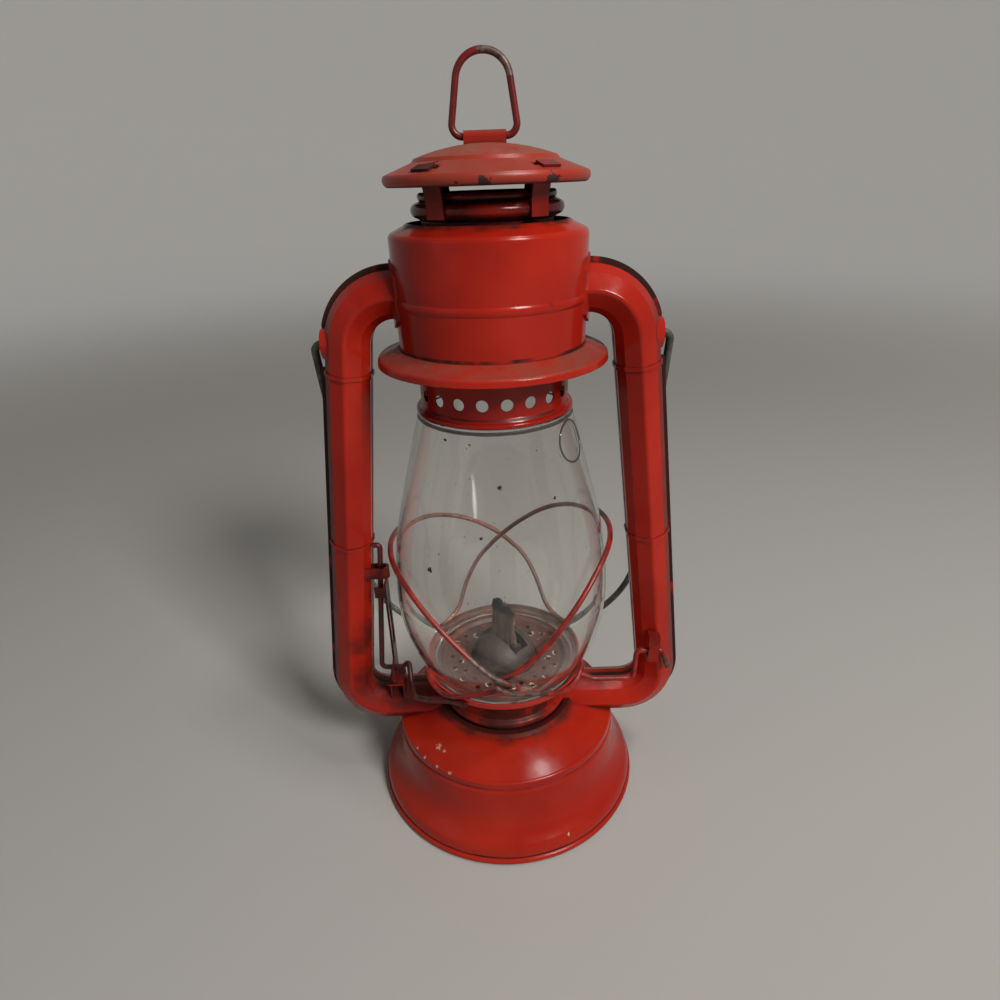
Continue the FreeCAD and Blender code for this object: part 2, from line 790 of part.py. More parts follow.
# Side air tubes: one six-sided section with a lap seam, swept from the canister to the air chamber.
half_width, half_depth, half_face = s.tube_width / 2, s.tube_depth / 2, s.tube_face / 2
tube_route = free_sketch("tube_route", "XZ_Plane", [
    (s.tube_inner_end, tube_top),
    (Free(s.tube_top_centre), tube_top),
    (Free(s.tube_top_centre + s.tube_top_curve), Free(tube_top - s.tube_top_curve), -s.tube_top_curve,
     "smooth both", s.tube_top_centre),
    (Free(s.tube_low_centre + s.tube_low_curve), Free(tube_low + s.tube_low_curve)),
    (Free(s.tube_low_centre), tube_low, -s.tube_low_curve, "smooth both", s.tube_low_centre),
    (s.tube_inner_end, tube_low),
], closed=False)


def tube_points(level, shrink, seam):
    """The tube's outline as (depth, width) points: a ridge at front and back, cheeks and flat sides."""
    wide, deep, face = half_width - shrink, half_depth - shrink, half_face - shrink * 0.5
    cheek_wide, cheek_deep = s.tube_cheek_width / 2 - shrink * 0.8, s.tube_cheek_depth / 2 - shrink * 0.8
    ridge = deep - s.tube_corner * 0.5
    blunt = s.tube_corner * 0.6
    path = [(-face, level - wide), (face, level - wide), (cheek_deep, level - cheek_wide),
            (ridge, level - blunt), (ridge, level + blunt, s.tube_corner),
            (cheek_deep, level + cheek_wide), (face, level + wide)]
    if seam:
        lap = s.tube_seam_thickness / 2
        path += [(lap, level + wide), (lap, level + wide + s.tube_seam), (-lap, level + wide + s.tube_seam),
                 (-lap, level + wide)]
    return path + [(-face, level + wide), (-cheek_deep, level + cheek_wide), (-ridge, level + blunt),
                   (-ridge, level - blunt, s.tube_corner), (-cheek_deep, level - cheek_wide)]


def tube_outline(name, shrink, seam):
    """The tube's section, square to its start, in a sketch on the YZ plane."""
    outline = free_sketch(name, "YZ_Plane", tube_points(tube_top, shrink, seam))
    bind(outline, "Placement.Base.x", s.tube_inner_end)
    return outline


def tube_sweep(name, section):
    sweep = doc.addObject("Part::Sweep", name)
    sweep.Sections = [section]
    sweep.Spine = (tube_route, [])
    sweep.Solid = True
    sweep.Frenet = False
    return sweep


tube_outer = tube_sweep("tube_outer", tube_outline("tube_outer_section", as_length(0), True))
tube_inner = tube_sweep("tube_inner", tube_outline("tube_inner_section", s.tube_wall, False))

boss = doc.addObject("Part::Cone", "pivot_boss")
boss_root = s.tube_boss_reach - 6.0
bind(boss, "Radius1", s.tube_boss_radius + 1.6)
bind(boss, "Radius2", s.tube_boss_radius - 1.0)
bind(boss, "Height", s.tube_boss_reach - boss_root)
boss.Placement = placed((boss_root, 0, bail_pivot), pitch=90)
seam_break = cylinder("seam_break", s.tube_boss_radius + 2.0, 12.0,
                      placed((s.tube_boss_reach - 0.6, 0, bail_pivot), pitch=90))
pivot_hole = cylinder("pivot_hole", s.bail_wire / 2 + s.running_clearance, 20.0,
                      placed((s.tube_boss_reach - 12.0, 0, bail_pivot), pitch=90))
drum_bead, drum_step = s.deck_height + s.drum_bead_rise, 0.6
drum_path = [
    (s.drum_radius + drum_step, s.deck_height),
    (s.drum_radius + drum_step, drum_bead - 1.8),
    (s.drum_radius + drum_step, drum_bead + 1.8, 2.0),
    (s.drum_radius, drum_bead + 2.6),
    (s.drum_radius, drum_top),
]
canister_path = [
    (s.canister_foot_radius, canister_foot),
    (s.canister_foot_radius + 0.3, canister_bead - 1.6),
    (s.canister_foot_radius + 0.35, canister_bead + 1.6, 2.9),
    (s.canister_radius, canister_shoulder),
    (s.canister_radius - 1.25, canister_shoulder + 1.9, 2.1),
    (s.canister_mouth_radius + 1.6, canister_top - 0.7),
    (s.canister_mouth_radius, canister_top, 1.8),
]
drum_inside = cylinder("drum_inside", s.drum_radius - s.drum_wall, drum_top - s.deck_height,
                       placed((0, 0, s.deck_height)))
canister_inside = cylinder("canister_inside", s.canister_foot_radius - s.canister_wall,
                           s.canister_height - 3.0, placed((0, 0, canister_foot)))
doc.recompute()
straight_run = [edge for edge in tube_route.Shape.Edges if abs(edge.tangentAt(edge.FirstParameter).z) > 0.9
                and edge.Curve.TypeId == "Part::GeomLine"][0]
run_top = max((vertex.Point for vertex in straight_run.Vertexes), key=lambda point: point.z)
run_low = min((vertex.Point for vertex in straight_run.Vertexes), key=lambda point: point.z)
run_slope = (run_low.x - run_top.x) / (run_top.z - run_low.z)
tube_band = [(point[1], point[0]) + tuple(-radius for radius in point[2:])
             for point in tube_points(as_length(0), -s.tube_bead_rise, False)]
beads = []
for i in range(2):
    drop = SIZES["tube_bead_drop"] + i * SIZES["tube_bead_pitch"]
    height = float(tube_top) - drop
    band = padded("tube_bead_%d" % (i + 1), "XY_Plane", tube_band, s.tube_bead_length)
    band.Placement = FreeCAD.Placement(V(run_top.x + run_slope * (run_top.z - height), 0, height),
                                       FreeCAD.Rotation(V(0, 1, 0), -math.degrees(math.atan(run_slope))))
    beads.append(band)
tube_banded = fused("tube_banded", cut("tube_outside", tube_outer, seam_break), *beads)
tube_body = cut("tube_shell", tube_banded, tube_inner)
tube_right = cut("tube_right", fused("tube_right", tube_body, cut("boss_shell", boss, tube_inner)),
                 pivot_hole, tank_envelope, drum_inside, canister_inside)
keep("side_tube_right", tube_right)
keep("side_tube_left", mirrored("side_tube_left", tube_right))
tube_outer_left = mirrored("tube_outer_left", tube_outer)
drum_shell = spun_sheet("air_chamber", drum_path, s.drum_wall)
keep("air_chamber", cut("air_chamber", drum_shell, tube_outer, tube_outer_left, shaft_way))

# Canister: drawn shell with an embossed pad round each tube, on a flared brim.
shell = spun_sheet("canister", canister_path, s.canister_wall)
pad_drum = cylinder("pad_drum", s.canister_radius + s.canister_boss_rise, s.canister_height,
                    placed((0, 0, canister_foot)))
pad_half = half_depth + s.canister_boss
pad_low, pad_high = tube_top - half_width + 1.0, tube_top + half_width - 1.0
pads = []
for side in (1, -1):
    pad_outline = [(-pad_half, pad_low), (pad_half, pad_low, half_depth * 1.9), (pad_half, pad_high, 11.0),
                   (-pad_half, pad_high, half_depth * 1.9)]
    pad = doc.addObject("Part::Common", "canister_pad_%d_shell" % (side + 2))
    pad.Base = padded("canister_pad_%d" % (side + 2), "YZ_Plane", pad_outline, s.canister_radius,
                      side * s.canister_radius)
    pad.Tool = pad_drum
    pads.append(pad)
canister = cut("canister", fused("canister", shell, *pads), canister_inside, tube_outer, tube_outer_left)
keep("canister", canister)
keep("canister_brim", spun_sheet("canister_brim", [
    (s.brim_radius, canister_foot - s.brim_drop - s.brim_lip),
    (s.brim_radius - 0.2, canister_foot - s.brim_drop - 0.4),
    (s.brim_radius - 1.6, canister_foot - s.brim_drop + 0.9, 1.6),
    (s.canister_foot_radius + 0.6, canister_foot),
    (s.brim_bore, canister_foot),
], s.canister_wall))

# Globe plate: a perforated dish with an upturned lip, a seat for the glass and a raised inner bead.
plate_floor = plate_seat - s.plate_wall
plate_shell = spun_sheet("globe_plate", [
    (s.plate_radius, plate_seat + s.plate_lip),
    (s.plate_radius, plate_floor + 1.4),
    (s.plate_radius - 1.4, plate_floor, -1.5),
    (s.plate_bead_radius + 1.2, plate_floor),
    (s.plate_bead_radius, plate_floor + 0.9),
    (s.plate_bead_radius - 1.2, plate_inner_top),
    (s.plate_bore, plate_inner_top),
    (s.plate_bore, plate_inner_top - 1.6),
], -s.plate_wall)
plate_holes = []
for row_name, row_radius, shift in (("inner", s.plate_inner_row, 0.0), ("outer", s.plate_outer_row, 0.5)):
    for i in range(SIZES["plate_hole_count"]):
        hole_bearing = 360.0 * (i + shift) / SIZES["plate_hole_count"]
        where = polar(hole_bearing, float(row_radius), float(plate_seat) - 6)
        plate_holes.append(cylinder("plate_hole_%s_%d" % (row_name, i + 1), s.plate_hole_radius, 10.0,
                                    FreeCAD.Placement(where, FreeCAD.Rotation())))
holes_joined = fused("plate_holes", *plate_holes)
keep("globe_plate", cut("globe_plate", plate_shell, holes_joined))

# Globe: blown glass, a bulb that narrows to a plain mouth under the collar.
glass_curve = crown_radius(glass_bulge - glass_foot - 0.8, s.glass_bulge_radius - s.glass_foot_radius)
glass_climb = (glass_mouth - glass_bulge) / 2
glass_draw = (s.glass_bulge_radius - s.glass_mouth_radius) / 3
glass_shoulder = crown_radius(glass_climb, glass_draw)
keep("globe_glass", spun_sheet("globe_glass", [
    (s.glass_foot_radius, glass_foot),
    (s.glass_foot_radius, glass_foot + 0.8),
    (s.glass_bulge_radius, glass_bulge, glass_curve),
    (Free(s.glass_bulge_radius - glass_draw), Free(glass_bulge + glass_climb), glass_shoulder, "smooth both"),
    (s.glass_mouth_radius, glass_mouth),
], s.glass_wall))

# Wire guard: two wires hug the globe, hook through each other at the front, cross at the back and
# end on the plate's lip. A station is the angle from the front, the height over the seat and the
# share of the outer layer.
FRONT_HOOK = [(2.6, 22.6, 1), (4.6, 20.9, 0.5), (2.6, 19.2, 0), (-5.0, 15.3, 0)]
UPPER_GUARD = [(-5.0, 26.2, 1), (-19.0, 35.7, 0), (-36.0, 47.7, 0), (-52.0, 56.7, 0), (-70.0, 61.3, 0),
               (-92.0, 61.9, 0), (-114.0, 60.9, 0), (-134.0, 57.7, 0), (-151.0, 52.7, 0),
               (-166.0, 45.7, 1), (-180.0, 37.7, 1), (-193.0, 27.7, 1), (-199.5, 21.7, 0.5),
               (-206.0, 15.2, 0)]
LOWER_GUARD = [(-19.0, 9.3), (-31.0, 4.3)]


def glass_radius(z):
    """The globe's outer radius below its bulge, and the bulge radius above it."""
    bulge, curve = SIZES["glass_bulge_radius"], float(glass_curve)
    below = max(float(glass_bulge) - z, 0.0)
    return bulge - curve + math.sqrt(curve * curve - below * below)


def guard_points(side, upper_outside, swell):
    """The guard wire's corners, from its back end over the globe and the front hook to its front end."""
    half = SIZES["guard_wire"] / 2
    layer = SIZES["guard_wire"] + 0.2
    on_lip = SIZES["plate_radius"] + half + 0.25
    lip = SIZES["plate_lip"]

    def station(angle, rise, outside):
        z = float(plate_seat) + rise
        hug = glass_radius(z) + SIZES["guard_gap"] + half
        return polar(-side * angle, max(hug, on_lip) + layer * outside, z)

    rest = lip - 1.2
    points = [station(-236.0, rest, 0), station(-226.0, rest, 0), station(-216.0, rest + 4.0, 0)]
    for angle, rise, outside in reversed(UPPER_GUARD):
        taller = swell * max(rise - SIZES["glass_bulge_rise"], 0.0)
        points.append(station(angle, rise + taller, outside if upper_outside else 0))
    points += [station(angle, z, share if upper_outside else 1 - share) for angle, z, share in FRONT_HOOK]
    points += [station(angle, z, 0) for angle, z in LOWER_GUARD]
    points += [station(-42.0, rest, 0), station(-54.0, rest, 0)]
    lip_top = float(plate_seat) + lip
    points.append(polar(side * 63.0, on_lip, lip_top + half + 0.6))
    points.append(polar(side * 69.0, on_lip - half, lip_top + half + 0.1))
    return points


keep("guard_wire_left", bent_wire("guard_wire_left", guard_points(-1, True, 0.0), s.guard_wire))
keep("guard_wire_right", bent_wire("guard_wire_right", guard_points(1, False, 0.2), s.guard_wire))

# Arms of the lift: the right one rides in a slotted strap on its tube, the left one is the crank
# that the lever turns on.
arm_level = plate_floor - s.arm_wire / 2 - 0.05
arm_y = -13.4
arm_z, seat_z = float(arm_level), float(plate_seat)
pivot_y, pivot_z = SIZES["lever_pivot_y"], float(lever_pivot)
keep("lift_arm_right", bent_wire("lift_arm_right", [
    V(26.6, arm_y, arm_z), V(34.0, arm_y, arm_z), V(40.0, arm_y, seat_z - 5.1), V(57.6, arm_y, seat_z - 5.5),
    V(58.4, arm_y, seat_z + 9.8), V(69.6, arm_y, seat_z + 9.8), V(72.6, arm_y, seat_z + 0.3),
], s.arm_wire, [6.0, 6.0, 2.4, 2.4, 2.4]))
plane, clip_z = SIZES["lever_plane"], float(lever_top) + 17.4
keep("lift_crank_left", bent_wire("lift_crank_left", [
    polar(-26.0, 38.0, seat_z + 1.0), polar(-38.0, 38.0, seat_z - 0.3), V(-33.4, -25.2, seat_z - 3.5),
    V(-40.2, -20.4, seat_z - 6.1), V(-42.2, -12.6, seat_z - 4.3), V(plane + 6.0, pivot_y, pivot_z + 2.9),
    V(plane + 3.2, pivot_y, pivot_z), V(plane - 6.6, pivot_y, pivot_z), V(plane - 0.5, pivot_y, clip_z),
    V(plane - 3.6, pivot_y, clip_z),
], s.arm_wire, [8.0, 8.0, 6.0, 3.0, 1.6, 1.6, 2.4, 2.2]))

# Lever: a plate on the crank with an involute foot, which lifts the globe at a steady rate as the
# plate swings forward, and a tab that clips in front of the crank.
lever_range = math.radians(85.0)
rise_rate = SIZES["lift_travel"] / lever_range


def cam_point(turn):
    """The foot's outline where it bears on the shelf after this much turn."""
    reach = SIZES["lever_cam"] + rise_rate * turn
    return (pivot_y - reach * math.sin(turn) - rise_rate * math.cos(turn),
            pivot_z - reach * math.cos(turn) + rise_rate * math.sin(turn))


lever_front = pivot_y - SIZES["lever_width"] / 2
lever_back = pivot_y + SIZES["lever_width"] / 2
cam_heel, cam_middle, cam_toe = cam_point(0), cam_point(lever_range / 2), cam_point(lever_range)
lever = padded("lift_lever", "YZ_Plane", [
    (lever_back, lever_top), (lever_front, lever_top), (lever_front, pivot_z + 8.0),
    (cam_toe[0] + 1.2, cam_toe[1] + 1.6), cam_toe,
    cam_middle + (SIZES["lever_cam"] + 0.75 * SIZES["lift_travel"],),
    cam_heel + (SIZES["lever_cam"] + 0.25 * SIZES["lift_travel"],),
    (pivot_y + 0.6, cam_heel[1]), (lever_back, pivot_z - 2.0),
], s.lever_thickness, s.lever_plane)
window_edge, window_low, window_high = 1.4, pivot_z + 13.5, pivot_z + 34.5
lever_window = padded("lever_window", "YZ_Plane", [
    (lever_front + window_edge, window_low), (lever_back - window_edge, window_low),
    (lever_back - window_edge, window_high), (lever_front + window_edge, window_high),
], 4.0, s.lever_plane)
lever_hole = cylinder("lever_hole", s.arm_wire / 2 + s.running_clearance, 6.0,
                      placed((SIZES["lever_plane"] - 3.0, pivot_y, pivot_z), pitch=90))
tab_reach = 4.6
lever_tab = box("lever_tab", tab_reach, s.lever_thickness, 5.0,
                placed((SIZES["lever_plane"] - tab_reach, lever_front, float(lever_top) - 6.5)))
keep("lift_lever", cut("lift_lever", fused("lift_lever", lever, lever_tab), lever_window, lever_hole))

# Fixed brackets on the tubes: shelf under the lever, guide round the crank, strap round the right arm.
shelf_top = pivot_z - SIZES["lever_cam"] - SIZES["moving_gap"]
sheet_gauge = s.bracket_thickness
shelf_near, shelf_far = plane + 3.2, plane - 3.4
shelf_plate = box("shelf_plate", shelf_near - shelf_far, 11.0, sheet_gauge,
                  placed((shelf_far, pivot_y - 6.2, shelf_top - SIZES["bracket_thickness"])))
shelf_legs = []
for i, leg_x in enumerate((shelf_far, shelf_near - SIZES["bracket_thickness"])):
    shelf_legs.append(box("shelf_leg_%d" % (i + 1), sheet_gauge, 8.0, 18.0,
                          placed((leg_x, pivot_y - 3.2, shelf_top - 18.4))))
keep("lever_shelf", cut("lever_shelf", fused("lever_shelf", shelf_plate, *shelf_legs), tube_outer_left))
guide_middle, guide_height = float(lever_top) + 4.7, 5.0
guide_root, guide_nose = plane - 11.6, plane + 0.2
guide_half = SIZES["arm_wire"] / 2 + 0.5
guide_skin = guide_half + SIZES["bracket_thickness"]
guide_outer = padded("guide_outer", "XY_Plane", [
    (guide_root, pivot_y - guide_skin), (guide_nose, pivot_y - guide_skin),
    (guide_nose, pivot_y + guide_skin, guide_skin + 0.05), (guide_root, pivot_y + guide_skin),
], guide_height, guide_middle)
guide_inner = padded("guide_inner", "XY_Plane", [
    (guide_root - 6.0, pivot_y - guide_half), (guide_nose - 0.5, pivot_y - guide_half),
    (guide_nose - 0.5, pivot_y + guide_half, guide_half + 0.05), (guide_root - 6.0, pivot_y + guide_half),
], guide_height + 1.0, guide_middle)
keep("crank_guide", cut("crank_guide", guide_outer, guide_inner, tube_outer_left))
strap_face = arm_y - SIZES["arm_wire"] / 2 - SIZES["moving_gap"]
strap_out = strap_face - SIZES["bracket_thickness"]
strap_low, strap_high = seat_z + 4.9, seat_z + 18.1
strap_root, strap_middle, strap_breadth = -6.0, 65.6, 4.6
arm_strap = padded("arm_strap", "YZ_Plane", [
    (strap_root, strap_low), (strap_out, strap_low), (strap_out, strap_high), (strap_root, strap_high),
    (strap_root, strap_high - sheet_gauge), (strap_face, strap_high - sheet_gauge),
    (strap_face, strap_low + sheet_gauge), (strap_root, strap_low + sheet_gauge),
], strap_breadth, strap_middle)
keep("arm_strap", cut("arm_strap", arm_strap, tube_outer))

# Hood: perforated collar on the globe's mouth, chimney with rolled neck rings, four straps and the cap.
collar_shell = spun_sheet("perforated_collar", [
    (s.collar_radius + 0.9, collar_foot),
    (s.collar_flare, collar_foot + 1.0, 1.1),
    (s.collar_radius + 0.9, collar_foot + 2.2, 1.1),
    (s.collar_radius, collar_foot + 3.6),
    (s.collar_radius, collar_shoulder - 1.4),
    (s.collar_radius - 1.4, collar_shoulder, 1.4),
    (s.chimney_radius + s.hood_wall, collar_shoulder),
    (s.chimney_radius + s.hood_wall, collar_shoulder + 3.4),
], s.hood_wall)
collar_holes = []
for i in range(SIZES["collar_hole_count"]):
    step = FreeCAD.Rotation(V(0, 0, 1), 360.0 * (i + 0.5) / SIZES["collar_hole_count"])
    aim = FreeCAD.Placement(V(0, 0, float(collar_foot + s.collar_hole_rise)),
                            step.multiply(FreeCAD.Rotation(0, 90, 0)))
    collar_holes.append(cylinder("collar_hole_%d" % (i + 1), s.collar_hole_radius, 40.0, aim))
keep("perforated_collar", cut("perforated_collar", collar_shell, fused("collar_holes", *collar_holes)))
keep("chimney", spun_sheet("chimney", [
    (s.chimney_radius, collar_shoulder - 6.0),
    (s.chimney_radius, neck - 3.2),
    (s.neck_bead_radius - 1.9, neck - 2.3),
    (s.neck_bead_radius - 1.9, neck + 2.3, 2.35),
    (s.chimney_radius + 0.2, neck + 2.9),
    (s.chimney_radius + 0.2, chimney_top, 1.4),
], s.hood_wall))
cap_edge = (s.cap_radius - 0.9, cap_rim + s.cap_rim_depth)
cap_crown_foot = (s.cap_step_radius - 0.8, cap_step + 1.1)
cap_shell = spun_sheet("hood_cap", [
    (s.cap_radius - 2.0, cap_rim),
    cap_edge + (2.2,),
    (s.cap_step_radius, cap_step),
    cap_crown_foot,
    (0, cap_top, crown_radius(cap_crown_foot[0], cap_top - cap_crown_foot[1])),
], s.hood_wall)
strap_foot = neck - 2.2
tab_radius, tab_length, tab_gap = 29.2, 3.0, 0.04
slot_length = SIZES["strap_width"] + 3.0
strap_bearings = [centre + side * SIZES["strap_spread"] for centre in (90, 270) for side in (-1, 1)]
slots = []
for i, strap_bearing in enumerate(strap_bearings):
    around = FreeCAD.Placement(V(0, 0, 0), FreeCAD.Rotation(V(0, 0, 1), strap_bearing))
    slots.append(box("cap_slot_%d" % (i + 1), 2.2, slot_length, 8.0, around.multiply(
        placed((tab_radius - 1.3, -slot_length / 2, float(cap_rim) + 2.0)))))
keep("hood_cap", cut("hood_cap", cap_shell, fused("cap_slots", *slots)))


def on_cap(radius, above):
    """A point over the cap's sloping face, at this radius before it is raised square to the face."""
    edge, foot = float(cap_edge[0]), float(cap_edge[1])
    run, climb = edge - SIZES["cap_step_radius"], float(cap_step) - foot
    slant = math.hypot(run, climb)
    height = foot + (edge - radius) * climb / run
    return (radius + above * climb / slant, height + above * run / slant)


for i, strap_bearing in enumerate(strap_bearings):
    inner = s.neck_bead_radius
    outer = inner + s.strap_thickness
    tab_bend, tab_end = on_cap(tab_radius, tab_gap), on_cap(tab_radius + tab_length, tab_gap)
    tab_top = tab_gap + SIZES["strap_thickness"]
    strap = padded("cap_strap_%d" % (i + 1), "XZ_Plane", [
        (inner, strap_foot), (outer, strap_foot), (outer, strap_foot + 5.0), tab_bend, tab_end,
        on_cap(tab_radius + tab_length, tab_top), on_cap(tab_radius - 0.6, tab_top),
        (tab_bend[0] - 0.72, tab_bend[1]), (inner, strap_foot + 5.2),
    ], s.strap_width)
    strap.Placement = FreeCAD.Placement(V(0, 0, 0), FreeCAD.Rotation(V(0, 0, 1), strap_bearing))
    keep("cap_strap_%d" % (i + 1), strap)

# Spring: a coil round the chimney, between the collar's shoulder and a seat under the canister's mouth.
seat_reach, seat_gauge = s.canister_mouth_radius + 3.5, 0.6
seat_bore = s.chimney_radius + s.hood_wall
spring_washer = spun_solid("spring_washer", [
    (seat_bore, spring_seat_height),
    (seat_reach, spring_seat_height),
    (seat_reach, spring_seat_height + seat_gauge),
    (seat_bore, spring_seat_height + seat_gauge),
])
keep("spring_seat", cut("spring_seat", spring_washer, canister))
coil_low = float(collar_shoulder + s.spring_wire / 2) + 0.1
coil_high = float(spring_seat_height - s.spring_wire / 2) - 0.1
coil_steps = 6
coil = []
for k in range(SIZES["spring_turns"] * coil_steps + 1):
    share = k / (SIZES["spring_turns"] * coil_steps)
    corner = SIZES["spring_radius"] / math.cos(math.pi / coil_steps)
    coil.append(polar(360.0 * k / coil_steps, corner, coil_low + (coil_high - coil_low) * share))
least_gap = min((coil[k + coil_steps] - coil[k]).Length for k in range(len(coil) - coil_steps))
print("hood spring, least gap between turns: %.2f mm" % (least_gap - SIZES["spring_wire"]))
coil[0] = (coil[0] + coil[1]) * 0.5
coil[-1] = (coil[-1] + coil[-2]) * 0.5
keep("hood_spring", bent_wire("hood_spring", coil, s.spring_wire))

# Lifting ring: a wire loop standing in a folded sheet hinge on the cap.
ring_axis = cap_top + 1.9
hinge_half, hinge_sink = 2.1, 0.5
hinge_body = padded("ring_hinge", "YZ_Plane", [
    (-hinge_half, cap_top - hinge_sink), (hinge_half, cap_top - hinge_sink),
    (hinge_half, ring_axis), (-hinge_half, ring_axis, hinge_half + 0.02),
], s.hinge_length)
hinge_bore = cylinder("hinge_bore", s.ring_wire / 2 + s.running_clearance, s.hinge_length + 2,
                      placed((-(SIZES["hinge_length"] + 2) / 2, 0, float(ring_axis)), pitch=90))
keep("ring_hinge", cut("ring_hinge", hinge_body, hinge_bore, cap_shell))
foot = SIZES["ring_foot_width"] / 2 - SIZES["ring_wire"] / 2
head = SIZES["ring_head_width"] / 2 - SIZES["ring_wire"] / 2
crown = float(ring_crown - s.ring_wire / 2)
low = float(ring_axis)
keep("lift_ring", bent_wire("lift_ring", [
    V(0.15, 0, low), V(foot, 0, low), V(head, 0, crown),
    V(-head, 0, crown), V(-foot, 0, low), V(-0.15, 0, low),
], s.ring_wire, [3.4, 9.0, 9.0, 3.4]))

# Bail: steel wire whose ends turn in through the tubes' bosses; it hangs behind on the tank's shoulder.
half_span, bow = SIZES["bail_half_width"], SIZES["bail_bow"]
straight = float(bail_pivot - s.bail_stop)
bail_points = [(SIZES["bail_pin_end"], 0.0), (half_span, 0.0)]
bow_corners = 6
for k in range(bow_corners):
    turn = math.pi * (k + 0.5) / bow_corners
    grow = 1 / math.cos(math.pi / 2 / bow_corners)
    bail_points.append((half_span * math.cos(turn) * grow, straight + bow * math.sin(turn) * grow))
bail_points += [(-half_span, 0.0), (-SIZES["bail_pin_end"], 0.0)]
lean = math.radians(SIZES["bail_lean"])
hung = [V(x, down * math.sin(lean), float(bail_pivot) - down * math.cos(lean)) for x, down in bail_points]
keep("bail", bent_wire("bail", hung, s.bail_wire, [3.2] + [200.0] * bow_corners + [3.2]))

doc.recompute()
failed = [o.Name for o in doc.Objects if "Invalid" in o.State or "Error" in o.State]
if failed:
    raise RuntimeError("objects failed: %s" % failed)
os.makedirs("parts", exist_ok=True)
for name, obj in nodes.items():
    shape = obj.Shape
    if shape.isNull() or not shape.isValid():
        raise RuntimeError("%s has no valid shape" % name)
    print(name, shape.ShapeType, len(shape.Solids), round(shape.Volume, 1))
    shape.exportStep("parts/%s.step" % name)
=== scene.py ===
import math
import random

import bmesh
import bpy
from mathutils import Matrix, Vector
from mathutils.bvhtree import BVHTree


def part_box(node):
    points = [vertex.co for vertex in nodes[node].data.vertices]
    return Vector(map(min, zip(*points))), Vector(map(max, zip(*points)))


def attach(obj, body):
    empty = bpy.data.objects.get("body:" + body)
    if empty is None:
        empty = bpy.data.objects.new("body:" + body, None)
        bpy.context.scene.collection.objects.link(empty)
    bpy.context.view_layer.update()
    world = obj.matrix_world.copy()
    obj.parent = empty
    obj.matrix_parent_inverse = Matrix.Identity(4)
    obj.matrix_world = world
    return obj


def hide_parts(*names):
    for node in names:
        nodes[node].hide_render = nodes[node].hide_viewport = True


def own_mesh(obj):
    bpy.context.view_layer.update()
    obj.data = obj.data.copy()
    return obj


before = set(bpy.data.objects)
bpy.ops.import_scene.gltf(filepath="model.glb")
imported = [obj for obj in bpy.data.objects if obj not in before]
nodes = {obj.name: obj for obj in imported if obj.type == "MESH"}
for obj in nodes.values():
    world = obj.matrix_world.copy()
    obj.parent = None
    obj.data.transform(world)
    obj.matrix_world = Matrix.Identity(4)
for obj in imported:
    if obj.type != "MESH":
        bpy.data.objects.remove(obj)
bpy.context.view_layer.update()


# Tank: the pressed skirt on its rolled rim, the raised bottom and the domed lid crimped over the skirt.
# All three are tinplate dipped in glossy red enamel, chipped to cream primer at the lid's front left and
# rubbed to dark metal along the rim and the hem. The dark lines above the rim bead and along the hem are
# painted shadow lines in those creases, with some dirt.
class Wire:
    """A shader socket that Python's operators act on."""

    def __init__(self, paint, socket):
        self.paint = paint
        self.socket = socket

    def _maths(self, operation, first, second):
        return self.paint.node("ShaderNodeMath", {"operation": operation}, {0: first, 1: second})

    def __add__(self, other):
        return self._maths("ADD", self, other)

    __radd__ = __add__

    def __sub__(self, other):
        return self._maths("SUBTRACT", self, other)

    def __rsub__(self, other):
        return self._maths("SUBTRACT", other, self)

    def __mul__(self, other):
        return self._maths("MULTIPLY", self, other)

    __rmul__ = __mul__

    def __truediv__(self, other):
        return self._maths("DIVIDE", self, other)

    def __rtruediv__(self, other):
        return self._maths("DIVIDE", other, self)

    def __pow__(self, other):
        return self._maths("POWER", self, other)

    def __rpow__(self, other):
        return self._maths("POWER", other, self)

    def __abs__(self):
        return self._maths("ABSOLUTE", self, 0.0)

    def __getitem__(self, name):
        return Wire(self.paint, self.socket.node.outputs[name])

    def least(self, other):
        return self._maths("MINIMUM", self, other)

    def most(self, other):
        return self._maths("MAXIMUM", self, other)

    def rise(self, low, high):
        """0 below low, 1 above high, smooth between; low above high falls instead."""
        return self.paint.node("ShaderNodeMapRange", {"interpolation_type": "SMOOTHSTEP"},
                               {"Value": self, "From Min": low, "From Max": high})


mm_per_m = 1000.0


